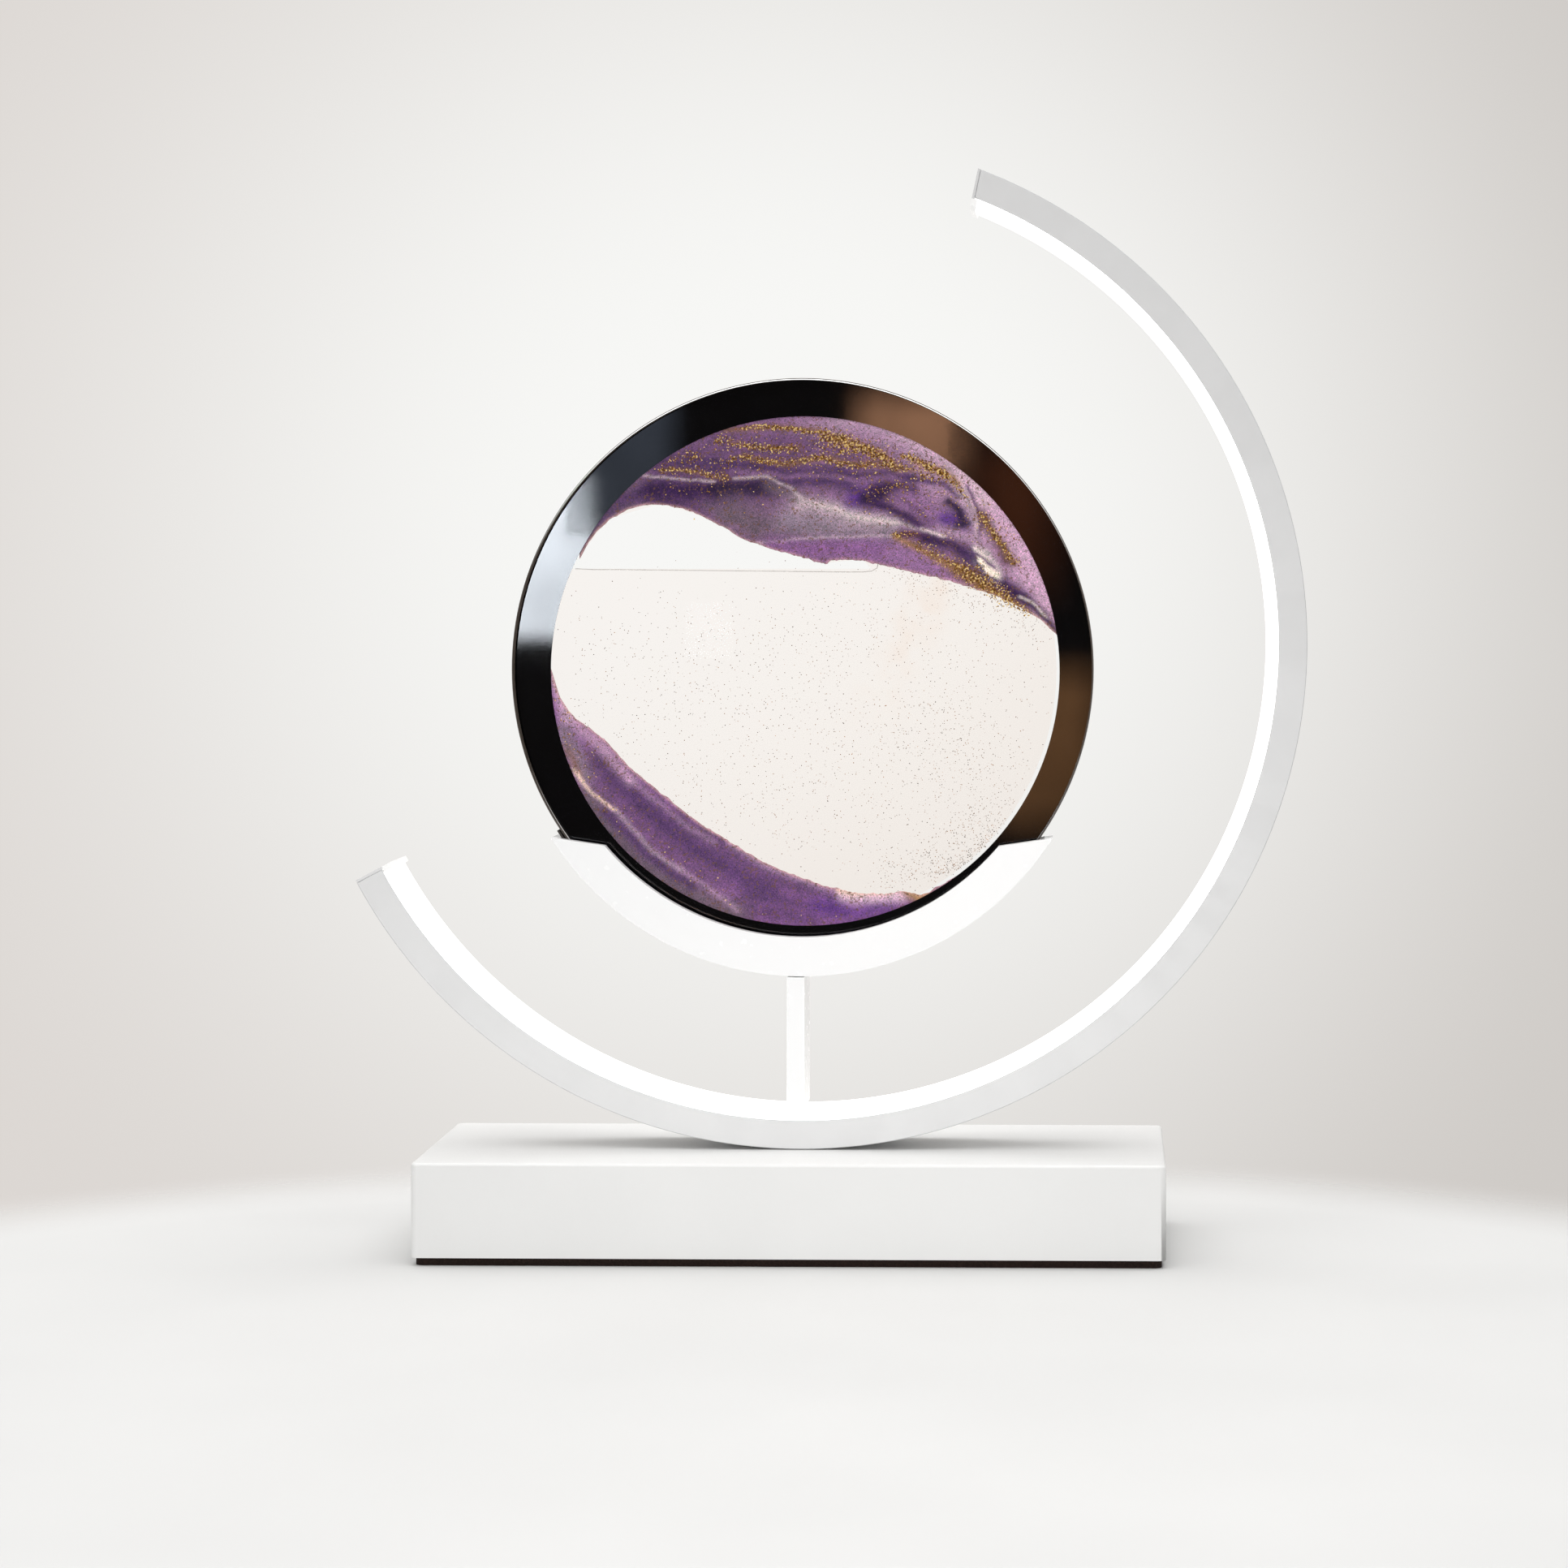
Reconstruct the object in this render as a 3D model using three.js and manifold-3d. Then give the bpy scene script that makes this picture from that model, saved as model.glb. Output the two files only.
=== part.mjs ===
// Accent table lamp: a C-shaped ring of light stands on a flat base. Inside the ring a
// slim stem carries a grooved cradle, and the cradle holds a round glass disc of moving sand.
// Millimetres, +Z up, the front faces -Y. The origin is the middle of the lamp's underside.

import * as THREE from 'three';
import { mergeVertices } from 'three/addons/utils/BufferGeometryUtils.js';
import Module from 'manifold-3d';

const wasm = await Module();
wasm.setup();

// Base: a hollow white block, closed below by a cover plate and a foam pad
const baseWidth = 228;
const baseDepth = 80;
const baseHeight = 28.7;
const baseWall = 3;
const baseCornerRadius = 1;
const baseTopBevel = 1;
const padThickness = 2.4;
const padInset = 1.2;
const padCornerRadius = 2.4;
const coverThickness = 2.5;
const bossRadius = 3.5;
const bossInset = 9;
const ballastDepth = 48;
const ballastThickness = 8;
const ballastWallClearance = 10;
const ballastBoardClearance = 4;

// Light ring: an aluminium channel bent to a C, open inwards, with a milky diffuser. The ring
// and the disc stand a little to the right of the middle of the base and the stem
const ringOuterRadius = 156;
const ringShift = 1.7;
const ringWidth = 8.8;
const ringDepth = 25;
const ringFloor = 1.6;
const ringSideWall = 1.3;
const diffuserProud = 3.3;
const diffuserSag = 0.85;
const diffuserCorner = 2;
const diffuserWall = 1.2;
const diffuserLeg = 1.5;
const diffuserLegHeight = 3.1;
const endCapThickness = 0.8;
const endTabThickness = 1.8;
const endTabProud = 0.4;
const ledStripWidth = 5;
const ledStripThickness = 0.4;
const ledLength = 4.4;
const ledWidth = 2.8;
const ledHeight = 0.8;
const ledPitch = 13;

// The ring's two ends, as directions from its centre, and how far the upper cut leans
const ringTopEndAngle = 69.15;
const ringTopEndLean = 9;
const ringLeftEndAngle = 208;

// Stem and cradle
const stemWidth = 5.5;
const stemDepth = 21;
const stemEdgeBevel = 0.4;
const cradleDepth = 18;
const cradleOverhang = 1.3;
const cradleBandWidth = 11.7;
const cradleDrop = 3.1;
const cradleBandTaper = 0.4;
const hornTipDrop = 51.9;
const hornCornerDrop = 2.5;
const linerThickness = 0.6;
const linerLeftOverhang = 2.2;

// Glass disc of moving sand
const discRadius = 90.4;
const discCentreHeight = 179.1;
const glassThickness = 3;
const glassBevel = 0.7;
const maskThickness = 0.3;
const maskRimInset = 0.6;
const maskWidth = 11.2;
const spacerThickness = 3.8;
const spacerWindowInset = 1;
const sandThickness = 1.2;
const plugRadius = 1;
const plugLength = 6.4;

// Power inlet, push button and driver board at the back of the base
const inletWidth = 14;
const inletBodyDepth = 13;
const inletNoseRadius = 5.6;
const inletBoreRadius = 4.2;
const inletBoreDepth = 10;
const inletPinRadius = 1;
const inletPinSetback = 4.9;
const buttonX = 30;
const buttonRadius = 5;
const buttonProud = 1.4;
const buttonFlange = 1.3;
const buttonFlangeThickness = 1.2;
const buttonEdgeBevel = 0.5;
const buttonTravel = 1.2;
const switchBodyDepth = 10;
const boardWidth = 78;
const boardDepth = 30;
const boardThickness = 1.6;
const boardPostRadius = 3;
const boardPostInset = 5;
const leadRadius = 1;

// Fasteners
const screwRadius = 1.5;
const screwHeadRadius = 2.8;
const screwHeadHeight = 1.7;
const coverScrewLength = 12;
const boardScrewLength = 6;
const ringScrewX = 14;
const ringScrewY = 7;
const rodSpacing = 12;
const rodGrip = 2.3;
const rodTail = 1.3;
const nutAcrossFlats = 5.5;
const nutHeight = 2.4;

// Fits
const gap = 0.3;
const seat = 0.2;
const running = 0.3;
const overrun = 2;

// Steps round a full circle
const ringSteps = 144;
const discSteps = 96;
const boltSteps = 16;
const arcSteps = 36;
const waveSteps = 40;

// Heights and radii that follow from the sizes above
const baseTop = padThickness + baseHeight;
const ceilingUnderside = baseTop - baseWall;
const coverTop = padThickness + coverThickness;
const ringInnerRadius = ringOuterRadius - ringWidth;
const ringCentreHeight = baseTop + seat + ringOuterRadius;
const diffuserCrestRadius = ringInnerRadius - diffuserProud;
const diffuserSeatRadius = ringInnerRadius - gap;
const channelFloorRadius = ringOuterRadius - ringFloor;
const ledFaceRadius = channelFloorRadius - gap - ledStripThickness;
const socketHeight = padThickness + baseHeight / 2;
const socketReach = buttonRadius + buttonFlange;
const boardTop = socketHeight - socketReach - gap;
const boardUnderside = boardTop - boardThickness;
const boardY = baseDepth / 2 - baseWall - gap - boardDepth / 2;
const ballastInnerEnd = boardWidth / 2 + ballastBoardClearance;
const ballastOuterEnd = baseWidth / 2 - baseWall - ballastWallClearance;
const ballastWidth = ballastOuterEnd - ballastInnerEnd;
const windowRadius = discRadius - maskWidth;
const cradleOuterRadius = discRadius + cradleOverhang;
const cradleInnerRadius = cradleOuterRadius - cradleBandWidth;
const cradleInnerDrop = cradleDrop - cradleBandTaper;
const cavityThickness = spacerThickness + 2 * maskThickness;
const discThickness = cavityThickness + 2 * glassThickness;
const grooveHalfWidth = discThickness / 2 + running;
const linerInnerRadius = discRadius + running;
const grooveRadius = linerInnerRadius + linerThickness + gap;
const cradleUnderside = discCentreHeight - cradleDrop - cradleOuterRadius;
const stemBottom = ringCentreHeight - diffuserCrestRadius + seat;
const stemTop = cradleUnderside - seat;
const rodBottom = ceilingUnderside - nutHeight - rodTail;
const rodTop = cradleUnderside + rodGrip;
const boltHole = screwRadius + gap;

const toRadians = THREE.MathUtils.degToRad;

// Finishes
function finish(color, roughness, metalness) {
  return new THREE.MeshStandardMaterial({ color, roughness, metalness });
}
const whitePaint = finish(0xf0f0ef, 0.5, 0);
const whiteCast = finish(0xf4f4f4, 0.28, 0);
const whiteCoat = finish(0xe2e4e3, 0.45, 0.1);
const milky = finish(0xffffff, 0.35, 0);
const blackFoam = finish(0x1f1714, 0.95, 0);
const darkPlastic = finish(0x26282a, 0.6, 0);
const steel = finish(0x9a9c9e, 0.35, 1);
const circuitGreen = finish(0x1f5b3a, 0.5, 0);
const clearGlass = new THREE.MeshStandardMaterial({
  color: 0xf2f6f5, roughness: 0.05, metalness: 0, transparent: true, opacity: 0.25,
});
const clearLiquid = new THREE.MeshStandardMaterial({
  color: 0xf6f1ec, roughness: 0.1, metalness: 0, transparent: true, opacity: 0.35,
});
const mirrorBlack = finish(0x08080a, 0.04, 0.9);
const blackSeal = finish(0x141414, 0.7, 0);
const greyLiner = finish(0x4a4541, 0.8, 0);
const purpleSand = finish(0x6d4a86, 0.85, 0);
const deepPurpleSand = finish(0x5a3b78, 0.85, 0);

// A closed three.js geometry as a solid that can be joined and cut
function solidOf(geometry) {
  const bare = geometry.clone();
  bare.deleteAttribute('normal');
  bare.deleteAttribute('uv');
  const merged = mergeVertices(bare);
  const mesh = new wasm.Mesh({
    numProp: 3,
    vertProperties: new Float32Array(merged.attributes.position.array),
    triVerts: new Uint32Array(merged.index.array),
  });
  return new wasm.Manifold(mesh);
}

// A named mesh from a finished solid
function piece(name, solid, material) {
  const result = solid.getMesh();
  const geometry = new THREE.BufferGeometry();
  geometry.setAttribute('position', new THREE.BufferAttribute(result.vertProperties, 3));
  geometry.setIndex(new THREE.BufferAttribute(result.triVerts, 1));
  geometry.computeVertexNormals();
  const mesh = new THREE.Mesh(geometry, material);
  mesh.name = name;
  return mesh;
}

// A box with its middle at x, y and its underside at z
function block(width, depth, height, x, y, z) {
  const geometry = new THREE.BoxGeometry(width, depth, height);
  geometry.translate(x, y, z + height / 2);
  return solidOf(geometry);
}

// An upright cylinder that starts at z
function post(radius, height, x, y, z, steps = boltSteps) {
  const geometry = new THREE.CylinderGeometry(radius, radius, height, steps);
  geometry.rotateX(Math.PI / 2);
  geometry.translate(x, y, z + height / 2);
  return solidOf(geometry);
}

// A cylinder along Y, from yFront back to yBack
function barrel(radius, yFront, yBack, x, z, steps = discSteps / 2) {
  const geometry = new THREE.CylinderGeometry(radius, radius, yBack - yFront, steps);
  geometry.translate(x, (yFront + yBack) / 2, z);
  return solidOf(geometry);
}

// An outline in X and Z, extruded from yFront back to yBack
function plate(shape, yFront, yBack, curveSegments = arcSteps) {
  const geometry = new THREE.ExtrudeGeometry(shape, {
    depth: yBack - yFront, bevelEnabled: false, curveSegments,
  });
  geometry.rotateX(Math.PI / 2);
  geometry.translate(0, yBack, 0);
  return solidOf(geometry);
}

// A closed section of [radius, y] points, turned once round the Y axis
function hoop(section, steps) {
  const points = [...section, section[0]].map(([radius, y]) => new THREE.Vector2(radius, y));
  return solidOf(new THREE.LatheGeometry(points, steps));
}

// A round plate about the Y axis, with its outer edges bevelled
function roundPane(radius, yFront, yBack, bevel) {
  const points = [
    [0, yFront],
    [radius - bevel, yFront],
    [radius, yFront + bevel],
    [radius, yBack - bevel],
    [radius - bevel, yBack],
    [0, yBack],
  ].map(([r, y]) => new THREE.Vector2(r, y));
  return solidOf(new THREE.LatheGeometry(points, discSteps));
}

function roundedRectangle(width, depth, radius) {
  const shape = new THREE.Shape();
  const x = width / 2 - radius;
  const y = depth / 2 - radius;
  shape.absarc(x, y, radius, 0, Math.PI / 2, false);
  shape.absarc(-x, y, radius, Math.PI / 2, Math.PI, false);
  shape.absarc(-x, -y, radius, Math.PI, 1.5 * Math.PI, false);
  shape.absarc(x, -y, radius, 1.5 * Math.PI, 2 * Math.PI, false);
  return shape;
}

// A slab with rounded upright corners, from z upwards
function slab(width, depth, height, radius, z) {
  const geometry = new THREE.ExtrudeGeometry(roundedRectangle(width, depth, radius), {
    depth: height, bevelEnabled: false, curveSegments: 4,
  });
  geometry.translate(0, 0, z);
  return solidOf(geometry);
}

// A screw with the top of its head at the origin and its shank going up (1) or down (-1)
function screw(length, direction, headEnd) {
  const points = [
    [0, 0],
    [screwHeadRadius, 0],
    ...headEnd,
    [screwRadius, screwHeadHeight],
    [screwRadius, length],
    [0, length],
  ].map(([radius, y]) => new THREE.Vector2(radius, y));
  const geometry = new THREE.LatheGeometry(points, boltSteps);
  geometry.rotateX(direction * Math.PI / 2);
  return solidOf(geometry);
}
const countersunk = [];
const pan = [[screwHeadRadius, screwHeadHeight]];

// The same screw's clearance hole, which runs on past its tip and its head
function screwSeat(length, x, y, z) {
  const cone = new THREE.CylinderGeometry(boltHole, screwHeadRadius + gap, screwHeadHeight, boltSteps);
  cone.rotateX(Math.PI / 2);
  cone.translate(x, y, z + screwHeadHeight / 2);
  const mouth = post(screwHeadRadius + gap, overrun, x, y, z - overrun);
  return solidOf(cone).add(mouth).add(post(boltHole, length + gap, x, y, z));
}

function nut() {
  const radius = nutAcrossFlats / 2 / Math.cos(Math.PI / 6);
  const body = post(radius, nutHeight, 0, 0, 0, 6);
  return body.subtract(post(boltHole, nutHeight + 2 * overrun, 0, 0, -overrun));
}

const coverScrewPlaces = [[-1, -1], [1, -1], [1, 1], [-1, 1]].map(([sideX, sideY]) => [
  sideX * (baseWidth / 2 - bossInset),
  sideY * (baseDepth / 2 - bossInset),
]);
const rodPlaces = [[0, -rodSpacing / 2], [0, rodSpacing / 2]];
const ringScrewPlaces = [
  [ringShift - ringScrewX, -ringScrewY],
  [ringShift + ringScrewX, ringScrewY],
];
const leadX = ringShift + ringScrewX / 2;
const leadY = ringScrewY;

// The base's white shell: block, cavity, screw bosses and the holes in its top and back
function baseShell() {
  const bevelled = new THREE.ExtrudeGeometry(
    roundedRectangle(baseWidth - 2 * baseTopBevel, baseDepth - 2 * baseTopBevel, baseCornerRadius),
    {
      depth: baseHeight - baseTopBevel, bevelEnabled: true, bevelSize: baseTopBevel,
      bevelThickness: baseTopBevel, bevelSegments: 3, curveSegments: 4,
    },
  );
  bevelled.translate(0, 0, padThickness);
  let shell = solidOf(bevelled).subtract(
    block(2 * baseWidth, 2 * baseDepth, overrun, 0, 0, padThickness - overrun),
  );
  shell = shell.subtract(block(
    baseWidth - 2 * baseWall, baseDepth - 2 * baseWall,
    baseHeight - baseWall + overrun, 0, 0, padThickness - overrun,
  ));
  const bossBottom = coverTop + gap;
  for (const [x, y] of coverScrewPlaces) {
    shell = shell.add(post(bossRadius, ceilingUnderside + overrun / 2 - bossBottom, x, y, bossBottom));
    shell = shell.subtract(post(boltHole, coverScrewLength, x, y, padThickness + gap));
  }
  for (const [x, y] of [...rodPlaces, ...ringScrewPlaces, [leadX, leadY]]) {
    shell = shell.subtract(post(boltHole, baseWall + 2 * overrun, x, y, ceilingUnderside - overrun));
  }
  const wallFront = baseDepth / 2 - baseWall - overrun;
  const wallBack = baseDepth / 2 + overrun;
  shell = shell.subtract(barrel(inletNoseRadius + gap, wallFront, wallBack, 0, socketHeight));
  return shell.subtract(barrel(buttonRadius + running, wallFront, wallBack, buttonX, socketHeight));
}

// The posts that carry the board stand on the cover plate
const boardPostPlaces = [-1, 1].flatMap((sideX) => [-1, 1].map((sideY) => [
  sideX * (boardWidth / 2 - boardPostInset),
  boardY + sideY * (boardDepth / 2 - boardPostInset),
]));
const boardScrewPlaces = boardPostPlaces.filter((place, i) => i % 2 === 0);

function bottomCover() {
  const width = baseWidth - 2 * baseWall - 2 * gap;
  const depth = baseDepth - 2 * baseWall - 2 * gap;
  let cover = block(width, depth, coverThickness, 0, 0, padThickness);
  for (const [x, y] of boardPostPlaces) {
    cover = cover.add(post(boardPostRadius, boardUnderside - padThickness, x, y, padThickness));
  }
  for (const [x, y] of boardScrewPlaces) {
    const depthOfHole = boardScrewLength - boardThickness + gap;
    cover = cover.subtract(post(boltHole, depthOfHole + overrun, x, y, boardUnderside - depthOfHole));
  }
  for (const [x, y] of coverScrewPlaces) {
    cover = cover.subtract(screwSeat(coverThickness + overrun, x, y, padThickness + gap));
  }
  return cover;
}

function basePad() {
  return slab(baseWidth - 2 * padInset, baseDepth - 2 * padInset, padThickness, padCornerRadius, 0);
}

// The driver board, with its larger components as one assembly
function driverBoard() {
  let board = block(boardWidth, boardDepth, boardThickness, 0, boardY, boardUnderside);
  const half = boardWidth / 2;
  const front = boardY - boardDepth / 2;
  const height = inletNoseRadius;
  const sink = boardThickness / 2;
  board = board.add(block(height, height, height / 3 + sink, -half / 2, boardY, boardTop - sink));
  board = board.add(block(2 * height, height, height + sink, -half / 2, front + height, boardTop - sink));
  board = board.add(post(height * 0.7, height + sink, half / 2, front + height, boardTop - sink));
  board = board.add(post(height * 0.9, height / 2 + sink, -half * 0.7, boardY, boardTop - sink));
  for (const [x, y] of boardScrewPlaces) {
    board = board.subtract(post(boltHole, boardThickness + 2 * overrun, x, y, boardUnderside - overrun));
  }
  return board;
}

// The power inlet: a block on the board, and a round nose that passes through the back wall
function powerInlet() {
  const wallInside = baseDepth / 2 - baseWall - gap;
  const noseEnd = baseDepth / 2;
  let inlet = block(
    inletWidth, inletBodyDepth, 2 * socketReach + gap,
    0, wallInside - inletBodyDepth / 2, boardTop,
  );
  inlet = inlet.add(barrel(inletNoseRadius, wallInside - overrun, noseEnd, 0, socketHeight));
  inlet = inlet.subtract(
    barrel(inletBoreRadius, noseEnd - inletBoreDepth, noseEnd + overrun, 0, socketHeight),
  );
  const pinRoot = noseEnd - inletBoreDepth - overrun / 2;
  return inlet.add(
    barrel(inletPinRadius, pinRoot, noseEnd - inletPinSetback, 0, socketHeight, boltSteps),
  );
}

// The push button's cap stands proud of the back wall, and its flange keeps it inside
const buttonFlangeBack = baseDepth / 2 - baseWall - gap;
const buttonFlangeFront = buttonFlangeBack - buttonFlangeThickness;

function switchButton() {
  const faceY = baseDepth / 2 + buttonProud;
  const points = [
    [0, buttonFlangeFront],
    [buttonRadius + buttonFlange, buttonFlangeFront],
    [buttonRadius + buttonFlange, buttonFlangeBack],
    [buttonRadius, buttonFlangeBack],
    [buttonRadius, faceY - buttonEdgeBevel],
    [buttonRadius - buttonEdgeBevel, faceY],
    [0, faceY],
  ].map(([r, y]) => new THREE.Vector2(r, y));
  return solidOf(new THREE.LatheGeometry(points, discSteps / 2));
}

function switchBody() {
  const back = buttonFlangeFront - buttonTravel - gap;
  const width = 2 * socketReach;
  return block(width, switchBodyDepth, width + gap, buttonX, back - switchBodyDepth / 2, boardTop);
}

// The two-core lead from the board up through the base's top into the ring's channel
function ledLead() {
  const floorHeight = ringCentreHeight - channelFloorRadius;
  const leadEnd = ledStripWidth / 2 + gap;
  const half = boardWidth / 2;
  const startY = boardY - boardDepth / 2 + 2 * leadRadius;
  const start = new THREE.Vector3(half / 3, startY, boardTop + gap);
  const route = new THREE.CatmullRomCurve3([
    start,
    new THREE.Vector3(half / 3, startY, boardTop + 4 * leadRadius),
    new THREE.Vector3(leadX + leadRadius, leadY, ceilingUnderside - 6 * leadRadius),
    new THREE.Vector3(leadX, leadY, ceilingUnderside - leadRadius),
    new THREE.Vector3(leadX, leadY, floorHeight),
    new THREE.Vector3(leadX, (leadY + leadEnd) / 2 + leadRadius, floorHeight + 1.6 * leadRadius),
    new THREE.Vector3(leadX, leadEnd, floorHeight + 1.6 * leadRadius),
  ], false, 'catmullrom', 0.5);
  const section = new THREE.Shape();
  section.absarc(0, 0, leadRadius, 0, 2 * Math.PI, false);
  return solidOf(new THREE.ExtrudeGeometry(section, {
    steps: 24, curveSegments: 4, bevelEnabled: false, extrudePath: route,
  }));
}

// A cut across the ring: a point on it and the direction in which it runs outwards
function ringCut(angle, lean, side, setback) {
  const along = new THREE.Vector2(Math.cos(toRadians(angle)), Math.sin(toRadians(angle)));
  const inwards = new THREE.Vector2(side * along.y, -side * along.x);
  const middle = along.clone().multiplyScalar(ringOuterRadius - ringWidth / 2);
  middle.addScaledVector(inwards, setback);
  const direction = new THREE.Vector2(
    Math.cos(toRadians(angle + lean)), Math.sin(toRadians(angle + lean)),
  );
  const reach = ringOuterRadius / 2;
  return {
    inner: middle.clone().addScaledVector(direction, -reach / 2),
    outer: middle.clone().addScaledVector(direction, reach),
  };
}
const topCut = (setback) => ringCut(ringTopEndAngle, ringTopEndLean, 1, setback);
const leftCut = (setback) => ringCut(ringLeftEndAngle, 0, -1, setback);

function polygon(points) {
  return new THREE.Shape(points.map((point) => point.clone()));
}

// The open part of the C, which is cut out of each hoop. A setback leaves room for the end caps
function ringGap(setback) {
  const top = topCut(setback);
  const left = leftCut(setback);
  const middleAngle = toRadians((ringTopEndAngle + ringLeftEndAngle) / 2);
  const reach = 3 * ringOuterRadius;
  const far = new THREE.Vector2(reach * Math.cos(middleAngle), reach * Math.sin(middleAngle));
  const outline = polygon([top.inner, top.outer, far, left.outer, left.inner]);
  return plate(outline, -ringDepth, ringDepth);
}

// Holes through the bottom of a ring piece, drilled along Z in the ring's own frame
function drillRing(solid, places, radius) {
  const depth = ringWidth + diffuserProud + diffuserSag + 2 * overrun;
  let drilled = solid;
  for (const [x, y] of places) {
    drilled = drilled.subtract(post(radius, depth, x - ringShift, y, -ringOuterRadius - overrun));
  }
  return drilled;
}

function ringProfile() {
  const half = ringDepth / 2;
  const inside = half - ringSideWall;
  const section = [
    [ringInnerRadius, -half],
    [ringOuterRadius, -half],
    [ringOuterRadius, half],
    [ringInnerRadius, half],
    [ringInnerRadius, inside],
    [channelFloorRadius, inside],
    [channelFloorRadius, -inside],
    [ringInnerRadius, -inside],
  ];
  const channel = hoop(section, ringSteps).subtract(ringGap(endCapThickness + gap));
  return drillRing(channel, [...rodPlaces, ...ringScrewPlaces, [leadX, leadY]], boltHole);
}

// Where the diffuser's section has its points: round a corner, and across the dome
const quarterShares = [0, 0.33, 0.67, 1];
const domeShares = [0.5, 0, -0.5];

// The diffuser's domed face with its rounded corners, as [radius, y] points from rear to front
function diffuserCrown() {
  const half = ringDepth / 2;
  const flat = half - diffuserCorner;
  const cornerRadius = diffuserCrestRadius + diffuserSag + diffuserCorner;
  const corner = quarterShares.map((share) => [
    cornerRadius - diffuserCorner * Math.sin(share * Math.PI / 2),
    flat + diffuserCorner * Math.cos(share * Math.PI / 2),
  ]);
  const dome = domeShares.map((share) => [
    diffuserCrestRadius + diffuserSag * share ** 2, share * flat,
  ]);
  const frontCorner = corner.map(([radius, y]) => [radius, -y]).reverse();
  return [...corner, ...dome, ...frontCorner];
}

// The diffuser covers the channel's mouth from front to back, and its legs grip the side walls
function ringDiffuser() {
  const half = ringDepth / 2;
  const leg = half - ringSideWall - gap;
  const hollow = leg - diffuserLeg;
  const legEnd = diffuserSeatRadius + diffuserLegHeight;
  const ceiling = diffuserCrestRadius + diffuserSag + diffuserWall;
  const section = [
    [diffuserSeatRadius, -half],
    [diffuserSeatRadius, -leg],
    [legEnd, -leg],
    [legEnd, -hollow],
    [ceiling, -hollow],
    [ceiling, hollow],
    [legEnd, hollow],
    [legEnd, leg],
    [diffuserSeatRadius, leg],
    [diffuserSeatRadius, half],
    ...diffuserCrown(),
  ];
  const cover = hoop(section, ringSteps).subtract(ringGap(endTabThickness + gap));
  return drillRing(cover, rodPlaces, boltHole);
}

// The light strip lies on the channel's floor, with one small emitter at each pitch
function ledStrip() {
  const half = ledStripWidth / 2;
  const outer = channelFloorRadius - gap;
  const section = [
    [ledFaceRadius, -half],
    [outer, -half],
    [outer, half],
    [ledFaceRadius, half],
  ];
  let strip = hoop(section, ringSteps).subtract(ringGap(endCapThickness + ledPitch / 2));
  const pitchAngle = ledPitch / ledFaceRadius;
  const firstAngle = toRadians(ringTopEndAngle) - 1.5 * pitchAngle;
  const lastAngle = toRadians(ringLeftEndAngle) - 2 * Math.PI + 1.5 * pitchAngle;
  const count = Math.floor((firstAngle - lastAngle) / pitchAngle) + 1;
  const sink = ledStripThickness / 2;
  for (let i = 0; i < count; i += 1) {
    const angle = firstAngle - i * pitchAngle;
    const emitter = new THREE.BoxGeometry(ledHeight + sink, ledWidth, ledLength);
    emitter.translate(ledFaceRadius - (ledHeight - sink) / 2, 0, 0);
    emitter.rotateY(-angle);
    strip = strip.add(solidOf(emitter));
  }
  return strip;
}

// An end cap: a thin plate over the channel's end, and a thicker tab over the diffuser's end
function endCap(cut) {
  const half = ringDepth / 2;
  const tabInner = diffuserCrestRadius - endTabProud;
  const tabHalf = half - diffuserCorner / 2;
  const plateSection = [
    [diffuserSeatRadius - gap, -half],
    [ringOuterRadius, -half],
    [ringOuterRadius, half],
    [diffuserSeatRadius - gap, half],
  ];
  const tabSection = [
    [tabInner, -tabHalf],
    [diffuserSeatRadius, -half],
    [diffuserSeatRadius, half],
    [tabInner, tabHalf],
  ];
  const thin = hoop(plateSection, ringSteps).intersect(ringSlice(cut, endCapThickness));
  const thick = hoop(tabSection, ringSteps).intersect(ringSlice(cut, endTabThickness));
  return thin.add(thick);
}

function ringSlice(cut, thickness) {
  const face = cut(0);
  const back = cut(thickness);
  const outline = polygon([face.inner, face.outer, back.outer, back.inner]);
  return plate(outline, -ringDepth, ringDepth);
}

// The stem: a flat bar with softened edges and two bores for the tie rods
function stem() {
  const height = stemTop - stemBottom;
  const geometry = new THREE.ExtrudeGeometry(
    chamferedRectangle(stemWidth, stemDepth, stemEdgeBevel),
    { depth: height, bevelEnabled: false },
  );
  geometry.translate(0, 0, stemBottom);
  let bar = solidOf(geometry);
  for (const [x, y] of rodPlaces) {
    bar = bar.subtract(post(boltHole, height + 2 * overrun, x, y, stemBottom - overrun));
  }
  return bar;
}

function chamferedRectangle(width, depth, chamfer) {
  const x = width / 2;
  const y = depth / 2;
  return polygon([
    new THREE.Vector2(x, -y + chamfer), new THREE.Vector2(x, y - chamfer),
    new THREE.Vector2(x - chamfer, y), new THREE.Vector2(-x + chamfer, y),
    new THREE.Vector2(-x, y - chamfer), new THREE.Vector2(-x, -y + chamfer),
    new THREE.Vector2(-x + chamfer, -y), new THREE.Vector2(x - chamfer, -y),
  ]);
}

// The cradle's outline about the disc's centre: two arcs of different radius, joined by the horns
function crescent() {
  const tip = Math.asin((hornTipDrop - cradleDrop) / cradleOuterRadius);
  const corner = Math.asin((hornTipDrop + hornCornerDrop - cradleInnerDrop) / cradleInnerRadius);
  const shape = new THREE.Shape();
  shape.absarc(0, -cradleDrop, cradleOuterRadius, -tip, tip - Math.PI, true);
  shape.absarc(0, -cradleInnerDrop, cradleInnerRadius, corner - Math.PI, -corner, false);
  return shape;
}

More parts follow.
